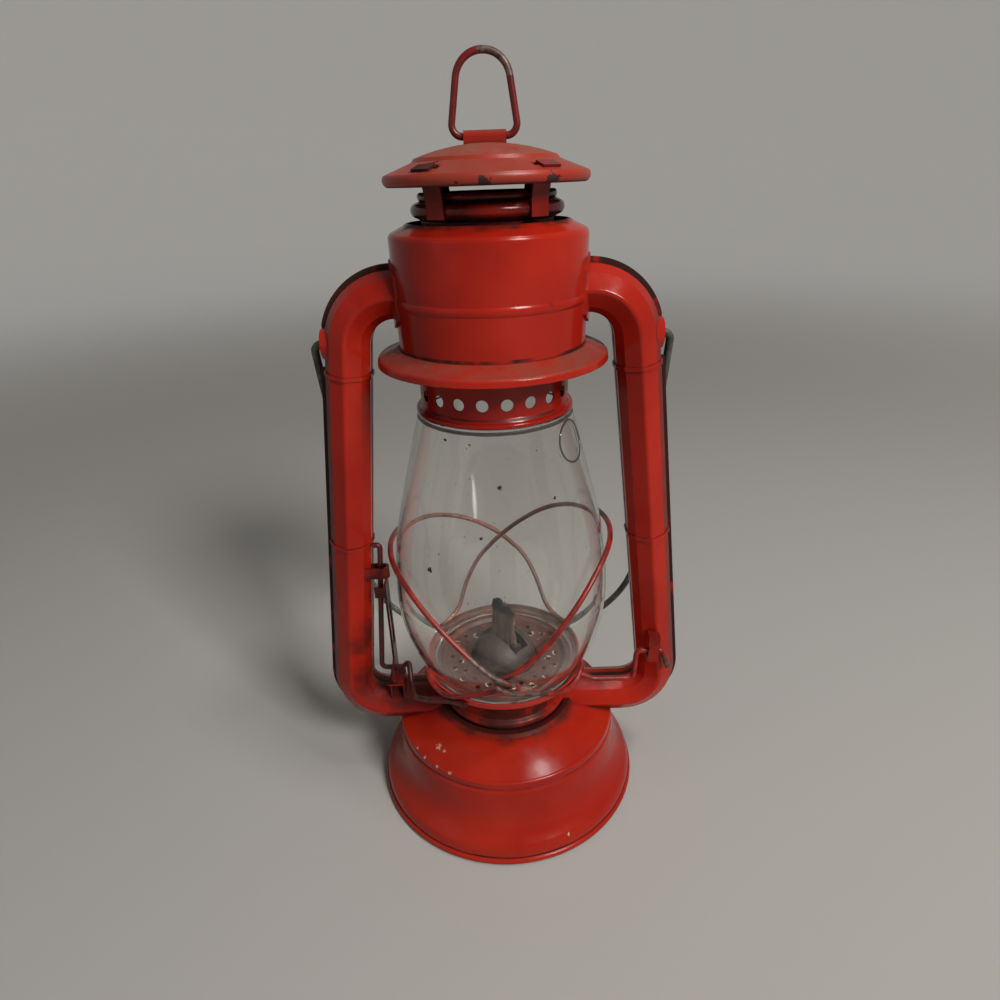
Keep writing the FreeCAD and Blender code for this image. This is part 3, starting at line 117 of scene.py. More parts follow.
class Paint:
    """A new material's node tree, or the tree given, and what is asked of it again and again."""

    def __init__(self, name, tree=None):
        if tree is None:
            self.material = bpy.data.materials.new(name)
            self.material.use_nodes = True
            tree = self.material.node_tree
            self.shader = tree.nodes["Principled BSDF"]
            self.output = tree.nodes["Material Output"]
        self.tree = tree

    def node(self, kind, settings=None, inputs=None, output=0):
        made = self.tree.nodes.new(kind)
        for key, value in (settings or {}).items():
            setattr(made, key, value)
        for key, value in (inputs or {}).items():
            self.join(made.inputs[key], value)
        return Wire(self, made.outputs[output])

    def join(self, socket, value):
        if isinstance(value, Wire):
            self.tree.links.new(value.socket, socket)
        elif isinstance(value, tuple) and len(value) == 3 and socket.type == "RGBA":
            socket.default_value = (*value, 1.0)
        else:
            socket.default_value = value

    def feed(self, shader=None, **sockets):
        for name, value in sockets.items():
            self.join((shader or self.shader).inputs[name.replace("_", " ")], value)
        return self.material

    def place(self):
        """Where the point is on the object, in millimetres, as x, y and z."""
        spot = self.node("ShaderNodeTexCoord", output="Object")
        parts = self.node("ShaderNodeSeparateXYZ", {}, {0: spot})
        return tuple(parts[axis] * mm_per_m for axis in "XYZ")

    def facing(self):
        """The surface's own direction, as x, y and z."""
        normal = self.node("ShaderNodeNewGeometry", output="Normal")
        parts = self.node("ShaderNodeSeparateXYZ", {}, {0: normal})
        return tuple(parts[axis] for axis in "XYZ")

    def inside(self):
        """1 on the walls that look towards the lantern's axis, 0 on the outer ones."""
        (x, y, _), (nx, ny, _) = self.place(), self.facing()
        return (x * nx + y * ny).rise(0.0, -4.0)

    def noise(self, size, detail=3.0, rough=0.55, warp=0.0, stretch=(1.0, 1.0, 1.0)):
        """Noise whose features are about this many millimetres across."""
        spot = self.node("ShaderNodeTexCoord", output="Object")
        scaled = self.node("ShaderNodeMapping", {}, {"Vector": spot, "Scale": stretch})
        return self.node("ShaderNodeTexNoise", {}, {
            "Vector": scaled, "Scale": mm_per_m / size, "Detail": detail, "Roughness": rough,
            "Distortion": warp})

    def mix(self, share, under, over):
        """The under colour, covered by the over colour by this share."""
        return self.node("ShaderNodeMix", {"data_type": "RGBA"}, {0: share, 6: under, 7: over}, 2)

    def spots(self, places):
        """1 in the middle of each (x, y, z, reach) in millimetres, 0 at its reach, below 0 past it."""
        spot = self.node("ShaderNodeTexCoord", output="Object")
        nearest = None
        for x, y, z, reach in places:
            away = self.node("ShaderNodeVectorMath", {"operation": "DISTANCE"},
                             {0: spot, 1: (x / mm_per_m, y / mm_per_m, z / mm_per_m)}, "Value")
            near = 1.0 - away * (mm_per_m / reach)
            nearest = near if nearest is None else nearest.most(near)
        return nearest

    def edges(self, width):
        """1 on convex and concave edges, this many millimetres wide, and 0 on open faces."""
        soft = self.node("ShaderNodeBevel", {"samples": 4}, {"Radius": width / mm_per_m})
        plain = self.node("ShaderNodeNewGeometry", output="Normal")
        agree = self.node("ShaderNodeVectorMath", {"operation": "DOT_PRODUCT"},
                          {0: soft, 1: plain}, "Value")
        return (1.0 - agree).rise(0.01, 0.12)

    def hollows(self, reach):
        """1 in crevices, 0 in the open; reach is in millimetres."""
        return 1.0 - self.node("ShaderNodeAmbientOcclusion", {"samples": 6},
                               {"Distance": reach / mm_per_m}, "AO")

    def bump(self, height, depth=1.0):
        """The height's relief as a normal; depth is in millimetres."""
        return self.node("ShaderNodeBump", {},
                         {"Height": height, "Distance": depth / mm_per_m, "Strength": 1.0})


red_bright = (0.39, 0.0165, 0.0065)
red_deep = (0.30, 0.0110, 0.0050)
soot = (0.010, 0.006, 0.005)
dust_brown = (0.135, 0.062, 0.040)
primer_cream = (0.46, 0.27, 0.18)
rubbed_black = (0.016, 0.010, 0.009)
enamel_gloss = 0.22
outward_shade_range = (36.0, 56.0)


def red_enamel(name, bright=red_bright, rub=1.0, dust=0.0, grime=1.0, soots_inside=0.0, chips=(), smudges=(),
               lines=(), tint=None, seam=0.0, ring=None):
    """Red enamel: mottled gloss, worn edges, grime and painted shade in crevices and corners, and dust on
    level tops.

    Chips and smudges are (x, y, z, reach), a line is (height, half its width, strength), tint is (colour,
    share), seam blackens a tube's lap seam with dirt and painted shade and paints shade on faces turned away
    from the axis, and ring is (radius all black, radius clean).
    """
    paint = Paint(name)
    x, y, z = paint.place()
    colour = paint.mix(paint.noise(38.0, 3.0).rise(0.36, 0.68), bright, red_deep)
    if tint:
        colour = paint.mix(paint.noise(16.0, 4.0, 0.6).rise(0.35, 0.7) * tint[1], colour, tint[0])
    specks = paint.noise(1.1, 4.0, 0.7).rise(0.68, 0.76) * paint.noise(24.0).rise(0.48, 0.66)
    worn = paint.edges(0.6) * paint.noise(3.5, 4.0).rise(0.47, 0.60) * rub
    # Crevices and corners darken from ambient occlusion: painted shade, with grime.
    crevice_shade = paint.hollows(2.2).rise(0.30, 0.62)
    corner = paint.hollows(9.0).rise(0.42, 0.95) * paint.noise(6.0, 4.0).rise(0.25, 0.72)
    dirt = ((crevice_shade * 0.85).most(corner * 0.7) * grime + specks * 0.7).least(1.0)
    if soots_inside:
        dirt = dirt.most(paint.inside() * soots_inside)
    if smudges:
        cloud = (paint.spots(smudges) + (paint.noise(8.0, 5.0, 0.65) - 0.5) * 1.3).rise(0.15, 0.9)
        dirt = dirt.most(cloud * 0.8)
    # The seam's band is dirt and painted shade, and faces turned away from the axis are darkened as painted
    # shade.
    if seam:
        lap = (1.0 - abs(y) / 2.4).rise(0.25, 0.7) * paint.noise(14.0, 4.0).rise(0.30, 0.45)
        dirt = dirt.most(lap * seam).most((x * paint.facing()[0]).rise(*outward_shade_range) * 0.6)
    if ring:
        out = (x * x + y * y) ** 0.5 + (paint.noise(9.0, 4.0, 0.6) - 0.5) * 9.0
        dirt = dirt.most(out.rise(ring[1], ring[0]) * 0.85)
    for height, half, strength in lines:
        line = (1.0 - abs(z - height) / half).rise(0.0, 0.5) * paint.noise(11.0, 3.0).rise(0.36, 0.58)
        dirt = dirt.most(line * strength)
    colour = paint.mix(dirt, colour, soot)
    colour = paint.mix(worn * 0.85, colour, rubbed_black)
    rough = 0.15 + paint.noise(10.0, 5.0, 0.65).rise(0.35, 0.8) * 0.13 + worn * 0.25 + dirt * 0.40
    relief = paint.noise(16.0, 2.0) * 0.14 + paint.noise(1.4, 2.0) * 0.010 - worn * 0.03
    if dust:
        film = (paint.facing()[2].rise(0.30, 0.92) * paint.noise(11.0, 7.0, 0.72).rise(0.18, 0.82) * dust)
        grit = paint.noise(0.7, 3.0, 0.7).rise(0.35, 0.75)
        colour = paint.mix(film * (0.55 + grit * 0.4), colour, dust_brown)
        rough = rough + film * 0.5
        relief = relief + grit * film * 0.05
    if chips:
        bare = (paint.spots(chips) + (paint.noise(1.5, 3.0, 0.6, warp=0.8) - 0.5) * 2.4).rise(0.42, 0.50)
        colour = paint.mix(bare, colour, primer_cream)
        rough = rough + bare * 0.4
        relief = relief - bare * 0.06
    return paint.feed(Base_Color=colour, Roughness=rough.least(0.95), Normal=paint.bump(relief),
                      Specular_IOR_Level=enamel_gloss)


crease_angle = math.radians(32)


def dress(material, *names):
    """Gives CAD nodes their finish and shades their round faces smooth."""
    for name in names:
        mesh = nodes[name].data
        mesh.materials.clear()
        mesh.materials.append(material)
        mesh.polygons.foreach_set("use_smooth", [True] * len(mesh.polygons))
        mesh.set_sharp_from_angle(angle=crease_angle)


tank_red = (0.36, 0.0185, 0.0072)
# The bead, waist and hem lines are painted shadow lines in the creases, with some dirt.
bead_shadow_line = (3.5, 0.6, 0.95)
waist_shadow_line = (32.9, 0.5, 0.9)
hem_shadow_line = (33.0, 0.55, 0.95)
skirt_chips = ((25.0, -52.8, 8.4, 1.0), (-8.0, -55.0, 15.0, 0.9))
lid_chips = ((-30.0, -31.0, 39.0, 2.0), (-27.4, -33.2, 39.0, 1.4), (-40.0, -28.6, 36.6, 1.2),
             (-36.2, -34.0, 36.4, 1.3), (-30.6, -39.2, 36.4, 1.1), (-24.8, -43.2, 36.2, 1.3))
# The black ring on the lid round the air chamber's foot is soot and painted shadow under the globe plate.
deck_soot_and_shadow = (30.5, 35.5)
dress(red_enamel("skirt_enamel", bright=tank_red, lines=(bead_shadow_line, waist_shadow_line), chips=skirt_chips),
      "tank_skirt", "tank_bottom")
dress(red_enamel("lid_enamel", bright=tank_red, lines=(hem_shadow_line,), chips=lid_chips, ring=deck_soot_and_shadow),
      "tank_top")


# Filler: a short steel neck soldered square to the lid at the back right, closed by a knurled cap on a
# rubber ring. Neck and cap are enamelled with the tank, and the cap's corners are handled bare.
dress(red_enamel("filler_enamel", rub=1.4, dust=0.4), "filler_neck", "filler_cap")
rubber_black = (0.02, 0.02, 0.02)
rubber = Paint("gasket_rubber")
dress(rubber.feed(Base_Color=rubber_black, Roughness=0.7,
                  Normal=rubber.bump(rubber.noise(0.8, 3.0), 0.1)), "filler_gasket")


# Burner: collar, body, slotted cone and flat wick tube, pressed in brass and brown-black with lamp soot;
# its edges are rubbed, and one spot on the cone is painted lighter and more metallic as a glint.
def sooty_metal(name, clean, tarnish, metal=0.75, rough=0.38, glints=()):
    """Bare metal under tarnish and soot, rubbed clean on edges, and lighter and more metallic at painted
    glint spots.
    """
    paint = Paint(name)
    stain = paint.noise(6.0, 5.0, 0.65).rise(0.32, 0.62)
    fine = paint.noise(0.8, 4.0, 0.7).rise(0.3, 0.8)
    # Hollows darken from ambient occlusion: painted shade, with soot.
    dirt = paint.hollows(5.0).rise(0.3, 0.9)
    rubbed = paint.edges(0.35) * paint.noise(2.5).rise(0.42, 0.6)
    # The glint spots are painted highlights.
    if glints:
        rubbed = rubbed.most(paint.spots(glints).rise(0.1, 0.8) * fine)
    colour = paint.mix(stain, clean, tarnish)
    colour = paint.mix(dirt * 0.8, colour, soot)
    colour = paint.mix(rubbed * 0.7, colour, clean)
    shine = (metal - stain * 0.45 + rubbed * 0.3).most(0.0).least(1.0)
    return paint.feed(Base_Color=colour, Metallic=shine, Roughness=rough + stain * 0.3 + fine * 0.1,
                      Normal=paint.bump(fine * 0.06 + stain * 0.05))


brass_brown = (0.045, 0.026, 0.018)
brass_tarnish = (0.014, 0.009, 0.007)
cone_painted_glint = (4.0, -14.0, 68.0, 3.0)
dress(sooty_metal("burner_brass", brass_brown, brass_tarnish, metal=0.2, glints=(cone_painted_glint,)),
      "burner_collar", "burner_body", "burner_cone", "wick_tube")


# Wick raiser: a steel shaft with two spur wheels that grip the wick, and a knurled brass knob outside
# the air chamber at the back left. Both are dull with handling and lamp oil.
raiser_clean = (0.34, 0.32, 0.29)
raiser_dull = (0.10, 0.085, 0.07)
dress(sooty_metal("raiser_steel", raiser_clean, raiser_dull), "wick_shaft", "wick_knob")


# Wick: a woven cotton tape held in its flat tube by the raiser's wheels. Above the tube it is drawn in and
# scorched brown, its top is burnt black, ragged and crusted, and loose warp ends stand out of it.
wick_low, wick_high = (corner[2] * mm_per_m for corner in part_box("wick"))
wick_wide, wick_thick = 16.0, 2.0
wick_turn = math.radians(-42.0)
bare_length = 22.0
burnt_away = 1.2
tape_columns, tape_rows, ragged_rows = 44, 120, 10


def tape_point(across, height, side):
    """A point of the tape's front or back face: across from 0 to 1, height in millimetres."""
    bare = max(0.0, (height - wick_high + bare_length) / bare_length)
    waist = 1.0 - 0.20 * math.sin(min(1.0, bare * 1.3) * math.pi * 0.72) - 0.05 * bare
    waist -= bare * (0.030 * math.sin(height * 1.1 + across * 2.0) + 0.022 * math.sin(height * 2.7 + 1.7))
    u = (across - 0.5) * wick_wide * waist + 0.9 * bare * bare
    plump = math.sqrt(max(0.0, 1 - (2 * across - 1) ** 8))
    v = (wick_thick / 2) * (0.35 + 0.65 * plump) * side * (1.0 - 0.45 * bare)
    v += bare * (0.22 * math.sin(4.6 * across + height * 0.13) + 0.10 * math.sin(11.0 * across + 1.0))
    v += 0.05 * math.sin(across * tape_columns * math.pi / 1.5)
    return u, v


def wick_tape():
    """The tape as one closed skin, its top edge burnt away unevenly."""
    random.seed(7)
    mesh = bmesh.new()
    top = []
    for i in range(tape_columns + 1):
        s = i / tape_columns
        wave = 1.1 * math.sin(4.4 * s + 0.9) - 0.7 * math.cos(12.0 * s)
        top.append(wave + random.uniform(-0.8, 0.5) - 1.3 * s)
    grid = {}
    for side in (-1, 1):
        for i in range(tape_columns + 1):
            for k in range(tape_rows + 1):
                s, t = i / tape_columns, k / tape_rows
                share = max(0.0, (k - tape_rows + ragged_rows) / ragged_rows)
                z = wick_low + (wick_high - burnt_away - wick_low) * t + top[i] * share
                u, v = tape_point(s, z, side)
                u += random.uniform(-0.3, 0.3) * share
                v += (random.uniform(-0.10, 0.10) + side * 0.10 * (1.0 + math.sin(9.0 * s + 0.6 * z))) * share
                grid[side, i, k] = mesh.verts.new((u / mm_per_m, v / mm_per_m, z / mm_per_m))
    for i in range(tape_columns):
        for k in range(tape_rows):
            mesh.faces.new((grid[1, i, k], grid[1, i, k + 1], grid[1, i + 1, k + 1], grid[1, i + 1, k]))
            mesh.faces.new((grid[-1, i, k], grid[-1, i + 1, k], grid[-1, i + 1, k + 1], grid[-1, i, k + 1]))
    last = tape_columns
    for k in range(tape_rows):
        mesh.faces.new((grid[-1, 0, k], grid[-1, 0, k + 1], grid[1, 0, k + 1], grid[1, 0, k]))
        mesh.faces.new((grid[1, last, k], grid[1, last, k + 1], grid[-1, last, k + 1], grid[-1, last, k]))
    for i in range(tape_columns):
        mesh.faces.new((grid[-1, i, 0], grid[1, i, 0], grid[1, i + 1, 0], grid[-1, i + 1, 0]))
        mesh.faces.new((grid[-1, i, tape_rows], grid[-1, i + 1, tape_rows],
                        grid[1, i + 1, tape_rows], grid[1, i, tape_rows]))
    mesh.normal_update()
    return mesh


def add_tube(mesh, route, radius, sides=6):
    """A round thread along the route's points, closed at both ends."""
    rings = []
    for k, point in enumerate(route):
        ahead = (route[min(k + 1, len(route) - 1)] - route[max(k - 1, 0)]).normalized()
        aside = ahead.cross(Vector((0.31, 0.87, 0.38))).normalized()
        above = ahead.cross(aside)
        rings.append([mesh.verts.new(point + (aside * math.cos(a) + above * math.sin(a)) * radius)
                      for a in (2 * math.pi * i / sides for i in range(sides))])
    for low, high in zip(rings, rings[1:]):
        for i in range(sides):
            j = (i + 1) % sides
            mesh.faces.new((low[i], low[j], high[j], high[i]))
    mesh.faces.new(list(reversed(rings[0])))
    mesh.faces.new(rings[-1])


top_ends, edge_ends = 26, 18
top_end_radius, edge_end_radius = 0.00013, 0.00009


def loose_ends():
    """Charred warp ends that stand out of the wick's top and frayed ones down its edges."""
    random.seed(11)
    mesh = bmesh.new()
    for k in range(top_ends):
        s = (k + random.uniform(0.2, 0.8)) / top_ends
        z = wick_high - random.uniform(1.5, 3.5)
        u, v = tape_point(s, z, 0)
        lean = Vector((random.uniform(-0.5, 0.5), random.uniform(-0.2, 0.2), 1.0))
        length = random.uniform(0.9, 2.2)
        start = Vector((u, v, z))
        bend = Vector((random.uniform(-0.3, 0.3), random.uniform(-0.15, 0.15), 0.0))
        route = [(start + lean * length * t + bend * t * t) / mm_per_m for t in (0.0, 0.35, 0.7, 1.0)]
        add_tube(mesh, route, top_end_radius)
    for _ in range(edge_ends):
        edge = random.choice((0.0, 1.0))
        z = wick_high - random.uniform(3.0, 17.0)
        u, v = tape_point(edge, z, 0)
        out = 1.0 if edge else -1.0
        sag = random.uniform(-0.8, 0.8)
        start = Vector((u, v, z))
        route = [(start + Vector((out * 0.9 * t, random.uniform(-0.1, 0.1), sag * t * t))) / mm_per_m
                 for t in (-0.3, 0.2, 0.6, 1.0)]
        add_tube(mesh, route, edge_end_radius)
    mesh.normal_update()
    return mesh


def add_piece(name, mesh, material):
    """An object of this mesh, shaded smooth, with its finish."""
    data = bpy.data.meshes.new(name)
    mesh.to_mesh(data)
    mesh.free()
    data.polygons.foreach_set("use_smooth", [True] * len(data.polygons))
    data.materials.append(material)
    piece = bpy.data.objects.new(name, data)
    bpy.context.scene.collection.objects.link(piece)
    return piece


cotton_tan = (0.21, 0.125, 0.088)
cotton_brown = (0.038, 0.022, 0.016)
scorched = (0.042, 0.025, 0.019)
charred = (0.006, 0.005, 0.005)
cotton = Paint("wick_cotton")
cotton_spot = cotton.node("ShaderNodeTexCoord", output="Object")
warp_threads = cotton.node("ShaderNodeTexWave", {"bands_direction": "X"}, {
    "Vector": cotton_spot, "Scale": 330.0, "Distortion": 2.2, "Detail": 2.0, "Detail Scale": 3.0})["Fac"]
weft_threads = cotton.node("ShaderNodeTexWave", {"bands_direction": "Z"}, {
    "Vector": cotton_spot, "Scale": 240.0, "Distortion": 1.6, "Detail": 1.0})["Fac"]
wick_height = cotton.place()[2] - wick_high
char = (wick_height + cotton.noise(3.0, 4.0) * 5.0).rise(-4.4, -2.6)
scorch = (wick_height + cotton.noise(6.0, 4.0, stretch=(1.0, 1.0, 0.4)) * 12.0).rise(-16.0, 2.0)
fibres = cotton.noise(1.6, 5.0, 0.75, stretch=(1.0, 1.0, 0.12)).rise(0.40, 0.60)
cloth = cotton.mix(warp_threads * 0.3 + fibres * 0.6, cotton_tan, cotton_brown)
cloth = cotton.mix(scorch * 0.6, cloth, scorched)
cloth = cotton.mix(char, cloth, charred)
crust = cotton.noise(1.3, 4.0, 0.7)
cotton.feed(Base_Color=cloth, Roughness=0.92, Normal=cotton.bump(
    warp_threads * 0.10 + weft_threads * 0.05 + fibres * 0.25 + crust * char * 0.8))
wick = add_piece("wick_tape", wick_tape(), cotton.material)
frays = add_piece("wick_frays", loose_ends(), cotton.material)
for piece in (wick, frays):
    piece.rotation_euler = (0, 0, wick_turn)
    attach(piece, "wick")
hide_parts("wick")


# Air chamber: the drum of rolled tinplate between the tank and the globe plate, soldered to the lid. Its
# red is almost lost under black lamp soot and painted shade from the globe plate over it.
# The smudges and soot tint stand for soot and for painted shade under the globe plate.
drum_soot_and_shade = ((0.0, -27.0, 50.0, 34.0), (-24.0, 6.0, 52.0, 24.0), (20.0, 20.0, 52.0, 20.0))
dress(red_enamel("chamber_enamel", grime=1.5, soots_inside=1.0, tint=(soot, 1.0), smudges=drum_soot_and_shade),
      "air_chamber")


# Side tubes: air tubes rolled from tinplate to a ridge in front and behind, soldered into the lid and the
# canister, with two cross beads and a lap seam down the outer edge. The seam's root is blackened with dirt
# and painted shade, faces turned away from the axis are painted darker as shade, and the left foot round
# the lever carries painted shadow of the lever and crank, with dirt.
# The large spots round the left foot are painted shadow of the lever and crank on the tube, with dirt.
left_shadows_and_smudges = ((-57.0, -9.0, 57.0, 26.0), (-46.0, -8.0, 51.0, 24.0), (-57.0, -9.0, 80.0, 17.0),
                (-66.0, 0.0, 190.0, 6.0))
right_smudges = ((57.0, -11.0, 63.0, 8.0), (44.0, -10.0, 51.0, 7.0))
for tube, tube_smudges in (("left", left_shadows_and_smudges), ("right", right_smudges)):
    dress(red_enamel(tube + "_tube_enamel", grime=0.7, seam=0.95, smudges=tube_smudges), "side_tube_" + tube)


# Canister: a shell drawn from tinplate between the tubes, pressed out round them and beaded round its
# middle. It is enamelled red, and its mouth under the cap is black with soot and painted shadow.
canister_bead = (209.2, 0.8, 0.9)
# The mouth's black ring and the three spots at its front are soot and painted shadow of the gap under the
# cap's ring.
mouth_soot_and_shade = (26.8, 30.2)
canister_shade_and_smudges = ((0.0, -24.0, 250.6, 5.0), (-14.0, -22.0, 250.0, 5.0), (17.0, -21.0, 250.0, 5.0),
                    (19.0, -28.4, 226.0, 1.5))
dress(red_enamel("canister_enamel", lines=(canister_bead,), ring=mouth_soot_and_shade, soots_inside=1.0, rub=0.7,
                 smudges=canister_shade_and_smudges), "canister")


# Canister brim: the flared skirt below the canister, pressed from tinplate and crimped to it. Its enamel
# is brown with settled dust on top and rubbed along the edge.
dress(red_enamel("brim_enamel", rub=1.3, dust=1.15, grime=1.2), "canister_brim")


# Brackets: the shelf under the lever, the clip round the crank and the strap round the right arm, bent
# from strip, soldered to the tubes and nearly black where they are handled.
clip_brown = (0.030, 0.004, 0.003)
handled_red = (0.13, 0.007, 0.004)
dress(red_enamel("clip_enamel", bright=clip_brown, rub=1.5, grime=1.6, tint=(soot, 0.95)),
      "lever_shelf", "crank_guide")
dress(red_enamel("strap_enamel", bright=handled_red, rub=1.5, grime=1.6, tint=(soot, 0.7)), "arm_strap")


# Globe plate: the perforated dish, pressed from sheet and carried by the guard's wires, that the globe
# stands in. Its floor is rust brown under years of soot, the outside of its lip still red, and pale steel
# is painted round some of the holes as highlights. Its crevices darken as painted shade.
hole_rows = ((20.6, 0.5), (24.2, 0.0))
holes_in_row = 18
hole_radius, rim_width = 1.3, 0.55
rust_red, rust_black = (0.086, 0.025, 0.016), (0.030, 0.011, 0.008)
rust_pale = (0.11, 0.052, 0.036)
rim_highlight_pale = (0.42, 0.36, 0.31)


def plate_finish():
    """Rust and soot on the dish's floor and back, red outside, and pale painted highlights round some of the
    holes.
    """
    paint = Paint("plate_enamel")
    x, y, _ = paint.place()
    out = (x * x + y * y) ** 0.5
    bearing = paint.node("ShaderNodeMath", {"operation": "ARCTAN2"}, {0: x, 1: 0.0 - y})
    # The pale steel round some holes is a painted highlight.
    rim_highlights = None
    for row, shift in hole_rows:
        turns = bearing * (holes_in_row / (2 * math.pi)) + shift
        between = paint.node("ShaderNodeMath", {"operation": "FRACT"}, {0: turns}) - 0.5
        along = between * (2 * math.pi * row / holes_in_row)
        away = (along * along + (out - row) * (out - row)) ** 0.5
        rim = (1.0 - abs(away - hole_radius) / rim_width).rise(0.0, 0.5)
        rim_highlights = rim if rim_highlights is None else rim_highlights.most(rim)
    rim_highlights = rim_highlights * paint.noise(3.5, 3.0).rise(0.56, 0.62)
    floor = (out + (paint.noise(5.0) - 0.5) * 2.0).rise(35.2, 33.6)
    floor = floor.most(paint.inside()).most(y.rise(4.0, 16.0))
    red = paint.mix(paint.noise(20.0).rise(0.35, 0.7), red_bright, red_deep)
    rust = paint.mix(paint.noise(4.5, 5.0, 0.65).rise(0.35, 0.65), rust_red, rust_black)
    rust = paint.mix(paint.noise(1.6, 4.0, 0.7).rise(0.58, 0.72), rust, rust_pale)
    rings = (paint.node("ShaderNodeMath", {"operation": "SINE"}, {0: out * 1.3}) * 0.5 + 0.5).rise(0.6, 1.0)
    # Crevices darken from ambient occlusion: painted shade, with soot.
    dirt = paint.hollows(1.5).rise(0.35, 0.9)
    colour = paint.mix(dirt * 0.8, paint.mix(floor, red, rust), soot)
    colour = paint.mix(rim_highlights * floor, colour, rim_highlight_pale)
    relief = paint.noise(2.0, 4.0) * floor * 0.12 + rings * floor * 0.08 + rim_highlights * 0.06
    return paint.feed(Base_Color=colour, Roughness=0.3 + floor * 0.25 + dirt * 0.2, Normal=paint.bump(relief))


dress(plate_finish(), "globe_plate")


# Globe: clear blown glass, hazed brown at its foot and streaked by smoke, with soot flakes on it. Its
# mouth is ground and dark under the collar, and the mould left a bare raised oval near its top.
soot_flakes = ((0.8, -34.5, 164.9, 1.1), (-26.5, -33.5, 131.6, 1.6), (20.6, -29.9, 158.0, 0.9),
               (-6.6, -38.7, 147.0, 0.8), (-18.0, -24.6, 180.0, 0.8), (34.5, -18.0, 150.0, 0.8))
ground_edge = 182.9
foot_clear, foot_brown = 69.0, 65.0
belly_clear, belly_smoked = 96.0, 70.0
smoke_brown = (0.19, 0.125, 0.088)
flake_black = (0.020, 0.013, 0.010)
glass_tint = (0.975, 0.975, 0.955)
glass_shade = (0.93, 0.93, 0.92)
glass_ior = 1.45


def dirty_glass():
    """Clear glass under smoke, flakes and dots of soot, which lets the lamps' light through."""
    paint = Paint("globe_glass")
    z = paint.place()[2]
    haze = paint.noise(26.0, 5.0, 0.6, stretch=(1.0, 1.0, 0.35)).rise(0.42, 0.78)
    fine = paint.noise(2.2, 4.0, 0.7).rise(0.45, 0.8)
    foot = (z + (paint.noise(7.0, 4.0) - 0.5) * 9.0).rise(foot_clear, foot_brown)
    belly = (z + (paint.noise(18.0, 4.0) - 0.5) * 22.0).rise(belly_clear, belly_smoked)
    mouth = (1.0 - abs(z + (paint.noise(5.0) - 0.5) * 0.3 - ground_edge) / 0.5).rise(0.0, 0.4)
    flakes = (paint.spots(soot_flakes) + (paint.noise(0.9, 3.0, 0.6) - 0.5) * 1.8).rise(0.30, 0.36)
    dots = paint.noise(1.7, 2.0, 0.5).rise(0.755, 0.775)
    film = haze * fine * 0.02 + belly * haze * 0.02 + foot * 0.10
    dirt = paint.tree.nodes.new("ShaderNodeBsdfPrincipled")
    stain = paint.mix(flakes.most(mouth).most(dots), smoke_brown, flake_black)
    paint.feed(dirt, Base_Color=stain, Roughness=0.85)
    paint.feed(Base_Color=glass_tint, Roughness=0.0, Transmission_Weight=1.0, IOR=glass_ior)
    share = film.most(flakes).most(dots * 0.9).most(mouth * 0.85).least(1.0)
    dressed = paint.node("ShaderNodeMixShader", {}, {0: share, 1: Wire(paint, paint.shader.outputs[0]),
                                                    2: Wire(paint, dirt.outputs[0])})
    lamplight = paint.node("ShaderNodeLightPath", output="Is Shadow Ray")
    thin = paint.node("ShaderNodeBsdfTransparent", {}, {"Color": glass_shade})
    paint.join(paint.output.inputs["Surface"],
               paint.node("ShaderNodeMixShader", {}, {0: lamplight, 1: dressed, 2: thin}))
    return paint.material


dress(dirty_glass(), "globe_glass")
glass_skin = BVHTree.FromPolygons([v.co[:] for v in nodes["globe_glass"].data.vertices],
                                  [p.vertices[:] for p in nodes["globe_glass"].data.polygons])


def on_glass(bearing, height):
    """The globe's outer surface at this bearing from the front, in degrees, and height, in millimetres."""
    turn = math.radians(bearing)
    out = Vector((math.sin(turn), -math.cos(turn), 0.0))
    outside = out * 0.1
    return glass_skin.ray_cast(outside + Vector((0, 0, height / mm_per_m)), -out)[0]


oval_bearing, oval_height = 61.0, 174.5
oval_half_turn, oval_half_height, oval_line = 14.5, 7.6, 0.00040
oval_steps, oval_sides = 72, 8


def mould_oval():
    """A thin raised oval line on the glass, with nothing inside it."""
    mesh = bmesh.new()
    turns = [2 * math.pi * k / oval_steps for k in range(oval_steps)]
    loop = [on_glass(oval_bearing + oval_half_turn * math.cos(a),
                     oval_height + oval_half_height * math.sin(a)) for a in turns]
    rings = []
    for k, point in enumerate(loop):
        ahead = (loop[(k + 1) % oval_steps] - loop[k - 1]).normalized()
        out = Vector((point.x, point.y, 0.0)).normalized()
        aside = ahead.cross(out)
        rings.append([mesh.verts.new(point + (aside * math.cos(a) + out * math.sin(a)) * oval_line)
                      for a in (2 * math.pi * i / oval_sides for i in range(oval_sides))])
    for k, low in enumerate(rings):
        high = rings[(k + 1) % oval_steps]
        for i in range(oval_sides):
            j = (i + 1) % oval_sides
            mesh.faces.new((low[i], high[i], high[j], low[j]))
    mesh.normal_update()
    return mesh


# The oval's glass is tinted grey as painted shade for the refraction along its raised line.
oval_shade_grey = (0.34, 0.33, 0.31)
shaded_oval_paint = Paint("oval_glass")
shaded_oval_paint.feed(Base_Color=oval_shade_grey, Roughness=0.05, Transmission_Weight=1.0, IOR=glass_ior)
oval = add_piece("glass_oval", mould_oval(), shaded_oval_paint.material)
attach(oval, "globe_carrier")


# Wire guard and lift arms: steel wire bent round the globe and hooked together in front, painted red
# and rubbed bare where hands and the globe touch it; behind the globe it has gone brown.
guard_reds = ((0.30, 0.013, 0.007), (0.11, 0.008, 0.005))
crank_reds = ((0.085, 0.007, 0.005), (0.025, 0.006, 0.005))
steel_clean, steel_brown = (0.15, 0.100, 0.083), (0.055, 0.029, 0.023)
heat_brown = (0.135, 0.055, 0.043)
brown_from = -4.0


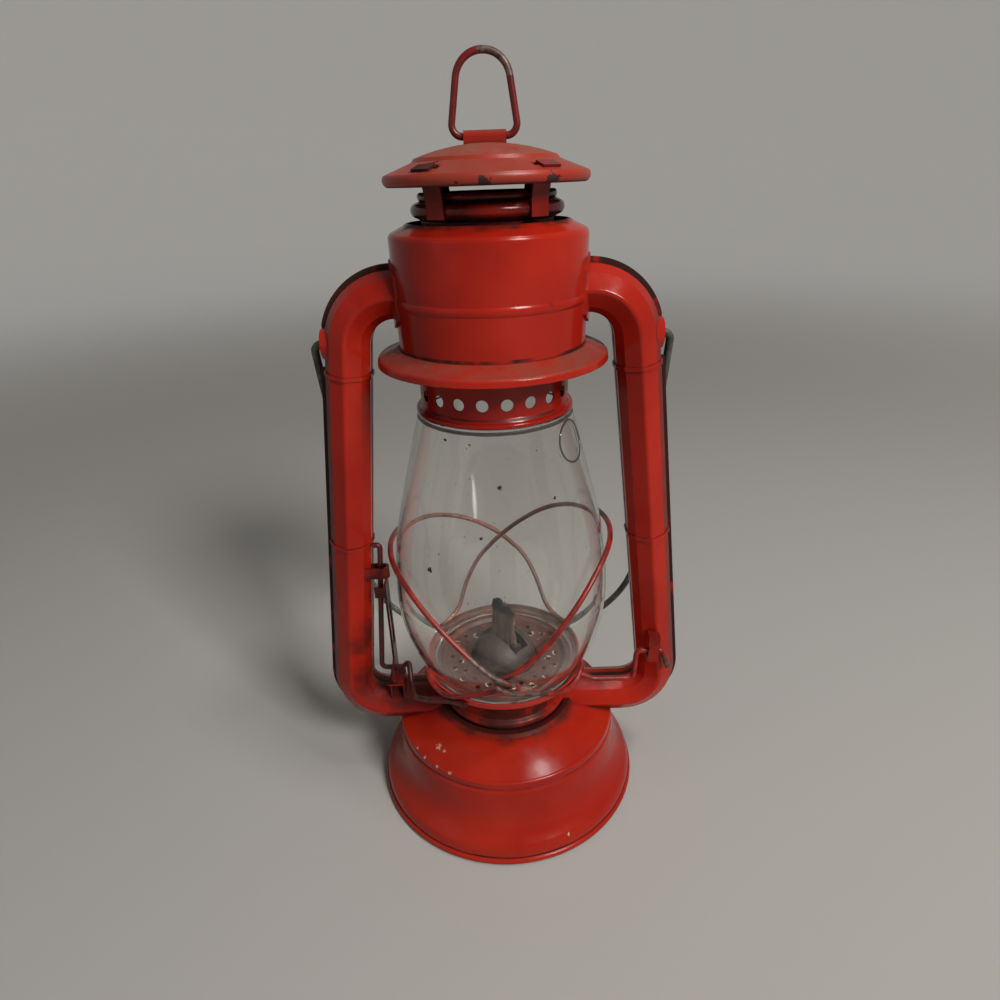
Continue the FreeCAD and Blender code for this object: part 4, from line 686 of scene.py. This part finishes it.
def worn_wire(name, bare_share, bare_spots, brown=None, reds=guard_reds):
    """Painted wire, bare by a share and at the spots, gone brown behind the depth given."""
    paint = Paint(name)
    y = paint.place()[1]
    gone = paint.noise(7.0, 4.0, 0.6).rise(0.64 - bare_share, 0.70 - bare_share)
    if bare_spots:
        gone = gone.most((paint.spots(bare_spots) + (paint.noise(4.0) - 0.5) * 0.9).rise(0.10, 0.3))
    steel = paint.mix(paint.noise(3.0, 4.0, 0.65).rise(0.40, 0.62), steel_clean, steel_brown)
    colour = paint.mix(gone, paint.mix(paint.noise(5.0).rise(0.3, 0.7), *reds), steel)
    if brown is not None:
        aged = (y + (paint.noise(9.0) - 0.5) * 14.0).rise(brown, brown + 16.0)
        colour = paint.mix(aged * 0.9, colour, heat_brown)
        gone = gone * (1.0 - aged)
    # Crossings and hollows darken from ambient occlusion: painted shade, with soot.
    black = paint.hollows(1.6).rise(0.35, 0.8)
    colour = paint.mix((black * 0.8).most(paint.noise(2.4, 4.0).rise(0.62, 0.68) * 0.7), colour, soot)
    return paint.feed(Base_Color=colour, Metallic=gone * 0.4, Roughness=0.34 + gone * 0.12,
                      Normal=paint.bump(paint.noise(1.0, 3.0) * 0.04 - gone * 0.06), Specular_IOR_Level=0.42)


left_bare = ((-8.5, -46.0, 92.0, 11.0), (1.0, -46.0, 84.0, 6.0))
right_bare = ((3.0, -46.0, 83.0, 8.0), (14.0, -42.0, 73.0, 12.0))
arm_bare = ((72.0, -13.4, 66.0, 6.0), (52.0, -13.4, 70.0, 5.0))
dress(worn_wire("left_guard_paint", 0.01, left_bare, brown=brown_from), "guard_wire_left")
dress(worn_wire("right_guard_paint", 0.02, right_bare, brown=brown_from), "guard_wire_right")
dress(worn_wire("arm_wire_paint", 0.04, arm_bare), "lift_arm_right")
dress(worn_wire("crank_wire_paint", 0.0, (), reds=crank_reds), "lift_crank_left")


# Lever: a plate pressed from sheet steel that swings on the crank and lifts the globe on its curved foot.
# Its enamel is dark with handling and bare along the edges.
lever_brown = (0.028, 0.004, 0.003)
dress(red_enamel("lever_enamel", bright=lever_brown, rub=1.3, grime=1.5, tint=(soot, 0.8)), "lift_lever")


# Perforated collar: the pierced tinplate band, soldered to the chimney, that seats on the globe's mouth.
# Its enamel is painted a deeper red as shade under the brim, with a black line where it meets the glass.
collar_shaded_red = (0.20, 0.007, 0.0035)
collar_lines = ((187.4, 0.5, 0.8), (184.6, 0.4, 0.9))
dress(red_enamel("collar_enamel", bright=collar_shaded_red, rub=1.1, grime=1.2, soots_inside=0.85,
                 lines=collar_lines), "perforated_collar")


# Chimney and straps: the inner tube with its rolled neck rings, and the four folded straps whose ends go
# through the cap. Their dark red enamel is black with soot inside and along the rings' edges. The straps'
# red is painted darker as shade under the cap, and the front left strap darkest of all.
neck_black = (0.045, 0.004, 0.003)
# The straps' reds are painted dark as shade under the cap; the front left strap is darkest and shaded further
# by a large spot.
strap_shaded_red, strap_shaded_black = (0.15, 0.007, 0.004), (0.045, 0.005, 0.004)
strap_shade = (-19.0, -24.5, 268.0, 22.0)
dress(red_enamel("chimney_enamel", bright=neck_black, grime=1.6, rub=1.2, soots_inside=1.0, tint=(soot, 0.9)),
      "chimney")
dress(red_enamel("strap_shaded_red", bright=strap_shaded_red, grime=1.5, rub=0.8),
      "cap_strap_1", "cap_strap_2", "cap_strap_4")
dress(red_enamel("strap_shaded_black", bright=strap_shaded_black, grime=1.5, rub=0.8, smudges=(strap_shade,)),
      "cap_strap_3")


# Cap: the domed and slotted lid of the hood, pressed from tinplate, with a hinge of folded sheet. Its
# enamel is matt orange-red under dust and chipped dark along the rim; its underside and crevices are
# painted black as shade.
cap_orange, cap_red = (0.28, 0.032, 0.014), (0.33, 0.018, 0.009)
cap_dust = (0.155, 0.120, 0.075)
cap_chips = ((-0.5, -34.6, 261.9, 2.8), (20.6, -28.2, 261.6, 3.4), (-9.0, -33.6, 262.0, 1.2),
             (-18.6, -23.2, 267.6, 6.0))


def cap_finish():
    """Matt enamel under dust on the dome, dark chips on the rim, and painted shade below and in crevices."""
    paint = Paint("cap_enamel")
    z, up = paint.place()[2], paint.facing()[2]
    colour = paint.mix(paint.noise(22.0, 4.0).rise(0.34, 0.7), cap_orange, cap_red)
    film = (up.rise(0.55, 1.0) * paint.noise(7.0, 6.0, 0.68).rise(0.34, 0.66)
            * (z + (paint.noise(9.0) - 0.5) * 5.0).rise(265.0, 271.0))
    grit = paint.noise(0.8, 4.0, 0.7).rise(0.35, 0.75)
    colour = paint.mix(film * (0.35 + grit * 0.4), colour, cap_dust)
    worn = paint.edges(0.6) * paint.noise(4.0, 4.0).rise(0.52, 0.62)
    chips = (paint.spots(cap_chips) + (paint.noise(2.0, 3.0) - 0.5) * 1.5).rise(0.25, 0.4)
    # Crevices from ambient occlusion and faces turned down are painted black as shade.
    crevice_shade = paint.hollows(2.0).rise(0.30, 0.62)
    under = up.rise(-0.60, -0.95)
    dark = worn.most(chips).most(crevice_shade * 0.9).most(under)
    colour = paint.mix(dark * 0.92, colour, soot)
    rough = (0.36 + film * 0.4 + dark * 0.3 + grit * 0.06).least(0.95)
    relief = paint.noise(14.0, 2.0) * 0.12 + grit * film * 0.06 - chips * 0.08
    return paint.feed(Base_Color=colour, Roughness=rough, Normal=paint.bump(relief), Specular_IOR_Level=0.4)


dress(cap_finish(), "hood_cap")
hinge_red = (0.27, 0.018, 0.010)
dress(red_enamel("hinge_enamel", bright=hinge_red, dust=0.8, rub=1.3, grime=1.3), "ring_hinge")


# Hood spring and its seat: a steel wire coil round the chimney and a washer under the canister's mouth,
# both dull with soot. The coil is a fixed copy on the frame; the real one closes up as the hood is raised.
spring_clean, spring_dull = (0.25, 0.24, 0.23), (0.07, 0.06, 0.055)
spring_finish = sooty_metal("spring_wire_steel", spring_clean, spring_dull)
dress(spring_finish, "spring_seat")
coil_mesh = bmesh.new()
coil_mesh.from_mesh(nodes["hood_spring"].data)
coil = add_piece("hood_coil", coil_mesh, spring_finish)
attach(coil, "frame")
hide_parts("hood_spring")
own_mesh(coil)


# Lifting ring: steel wire bent to an arch, its ends turned into the hinge. Its dark red paint is worn to
# grey steel over the crown and the right shoulder.
ring_reds = ((0.17, 0.007, 0.005), (0.09, 0.005, 0.004))
ring_bare = ((2.0, 0.0, 299.5, 4.0), (6.5, 0.0, 298.0, 4.5), (9.0, 0.0, 294.0, 3.0))
dress(worn_wire("ring_wire_paint", 0.0, ring_bare, reds=ring_reds), "lift_ring")


# Bail: thick steel wire bent to a hoop, grey-green and never painted, its ends turned in through the
# bosses of the side tubes.
bail_clean, bail_dull = (0.135, 0.135, 0.122), (0.040, 0.039, 0.034)
dress(sooty_metal("bail_steel", bail_clean, bail_dull, metal=0.6, rough=0.42), "bail")


# Studio: a pale round floor that curves up into a low wall all round, a soft lamp high on the front right,
# a small one almost overhead, a faint panel on the left and an even pale sky.
floor_radius, bend_radius, wall_height = 1.7, 0.6, 1.5
bend_steps, floor_sides = 12, 96


def backdrop():
    """The floor's disc, its bend and the wall, as one skin turned about the lantern's axis."""
    rows = [(floor_radius, 0.0)]
    for k in range(1, bend_steps + 1):
        a = k * math.pi / (2 * bend_steps)
        rows.append((floor_radius + bend_radius * math.sin(a), bend_radius - bend_radius * math.cos(a)))
    rows.append((floor_radius + bend_radius, wall_height))
    mesh = bmesh.new()
    middle = mesh.verts.new((0.0, 0.0, 0.0))
    turns = [2 * math.pi * k / floor_sides for k in range(floor_sides)]
    rings = [[mesh.verts.new((out * math.sin(a), out * math.cos(a), z)) for a in turns] for out, z in rows]
    for k in range(floor_sides):
        j = (k + 1) % floor_sides
        mesh.faces.new((middle, rings[0][j], rings[0][k]))
        for low, high in zip(rings, rings[1:]):
            mesh.faces.new((low[k], low[j], high[j], high[k]))
    return mesh


def seen_by(paint):
    """1 for what the camera sees, straight, mirrored or through glass, and 0 for the light that falls."""
    ray = paint.node("ShaderNodeLightPath")
    return ray["Is Camera Ray"].most(ray["Is Glossy Ray"]).most(ray["Is Transmission Ray"])


floor_pale = (0.41, 0.398, 0.382)
wall_glow = (0.20, 0.196, 0.188)
no_glow = (0.0, 0.0, 0.0)
glow_from, glow_full = 500.0, 1900.0
pale = Paint("pale_backdrop")
far_x, far_y, _ = pale.place()
wall = ((far_x * far_x + far_y * far_y) ** 0.5).rise(glow_from, glow_full) * seen_by(pale)
pale.feed(Base_Color=floor_pale, Roughness=0.9, Emission_Strength=1.0,
          Emission_Color=pale.mix(wall, no_glow, wall_glow))
add_piece("studio_floor", backdrop(), pale.material)

sky_colour = (0.84, 0.84, 0.82)
sky_light, sky_seen = 0.14, 0.12
world = bpy.data.worlds.new("studio_world")
bpy.context.scene.world = world
world.use_nodes = True
sky = Paint("studio_sky", world.node_tree)
background = world.node_tree.nodes["Background"]
sky.join(background.inputs["Color"], sky_colour)
sky.join(background.inputs["Strength"], sky_light + seen_by(sky) * sky_seen)


warm_white, cool_white, near_white = (1.0, 0.965, 0.92), (0.93, 0.96, 1.0), (1.0, 0.98, 0.95)
key_aim, panel_aim, top_aim = (0, 0, 0.14), (0, 0, 0.16), (0, 0, 0.10)


def soft_lamp(name, place, aim, width, height, power, colour):
    """A flat rectangular lamp of this size in metres and power in watts, aimed at a point."""
    data = bpy.data.lights.new(name, "AREA")
    data.shape = "RECTANGLE"
    data.energy = power
    data.size, data.size_y = width, height
    data.color = colour
    lamp = bpy.data.objects.new(name, data)
    lamp.location = place
    lamp.rotation_euler = (Vector(aim) - Vector(place)).to_track_quat("-Z", "Y").to_euler()
    bpy.context.scene.collection.objects.link(lamp)


soft_lamp("key_lamp", (0.78, -0.99, 1.13), key_aim, width=0.42, height=0.42, power=22.0, colour=warm_white)
soft_lamp("left_panel", (-0.80, -0.65, 0.45), panel_aim, width=0.5, height=0.8, power=0.25, colour=cool_white)
soft_lamp("top_lamp", (0.33, -0.18, 1.02), top_aim, width=0.13, height=0.13, power=2.2, colour=near_white)


# Camera: at the photograph's place, level with the lantern's cap and a quarter of a metre in front of it,
# looking down by about 26 degrees through a short lens.
camera_place = (0.000678, -0.24696, 0.26313)
camera_right = Vector((0.99935, -0.01576, -0.03252))
camera_up = Vector((0.03614, 0.43572, 0.89936))
camera_back = Vector((0.0, -0.89995, 0.43600))
sensor_width, focal_share = 36.0, 0.665
nearest_seen = 0.01
camera_data = bpy.data.cameras.new("camera")
camera_data.sensor_width = sensor_width
camera_data.lens = sensor_width * focal_share
camera_data.clip_start = nearest_seen
camera = bpy.data.objects.new("camera", camera_data)
camera_turn = Matrix((camera_right, camera_up, camera_back)).transposed().to_4x4()
camera.matrix_world = Matrix.Translation(camera_place) @ camera_turn
bpy.context.scene.collection.objects.link(camera)
bpy.context.scene.camera = camera
bpy.context.scene.view_settings.view_transform = "Standard"
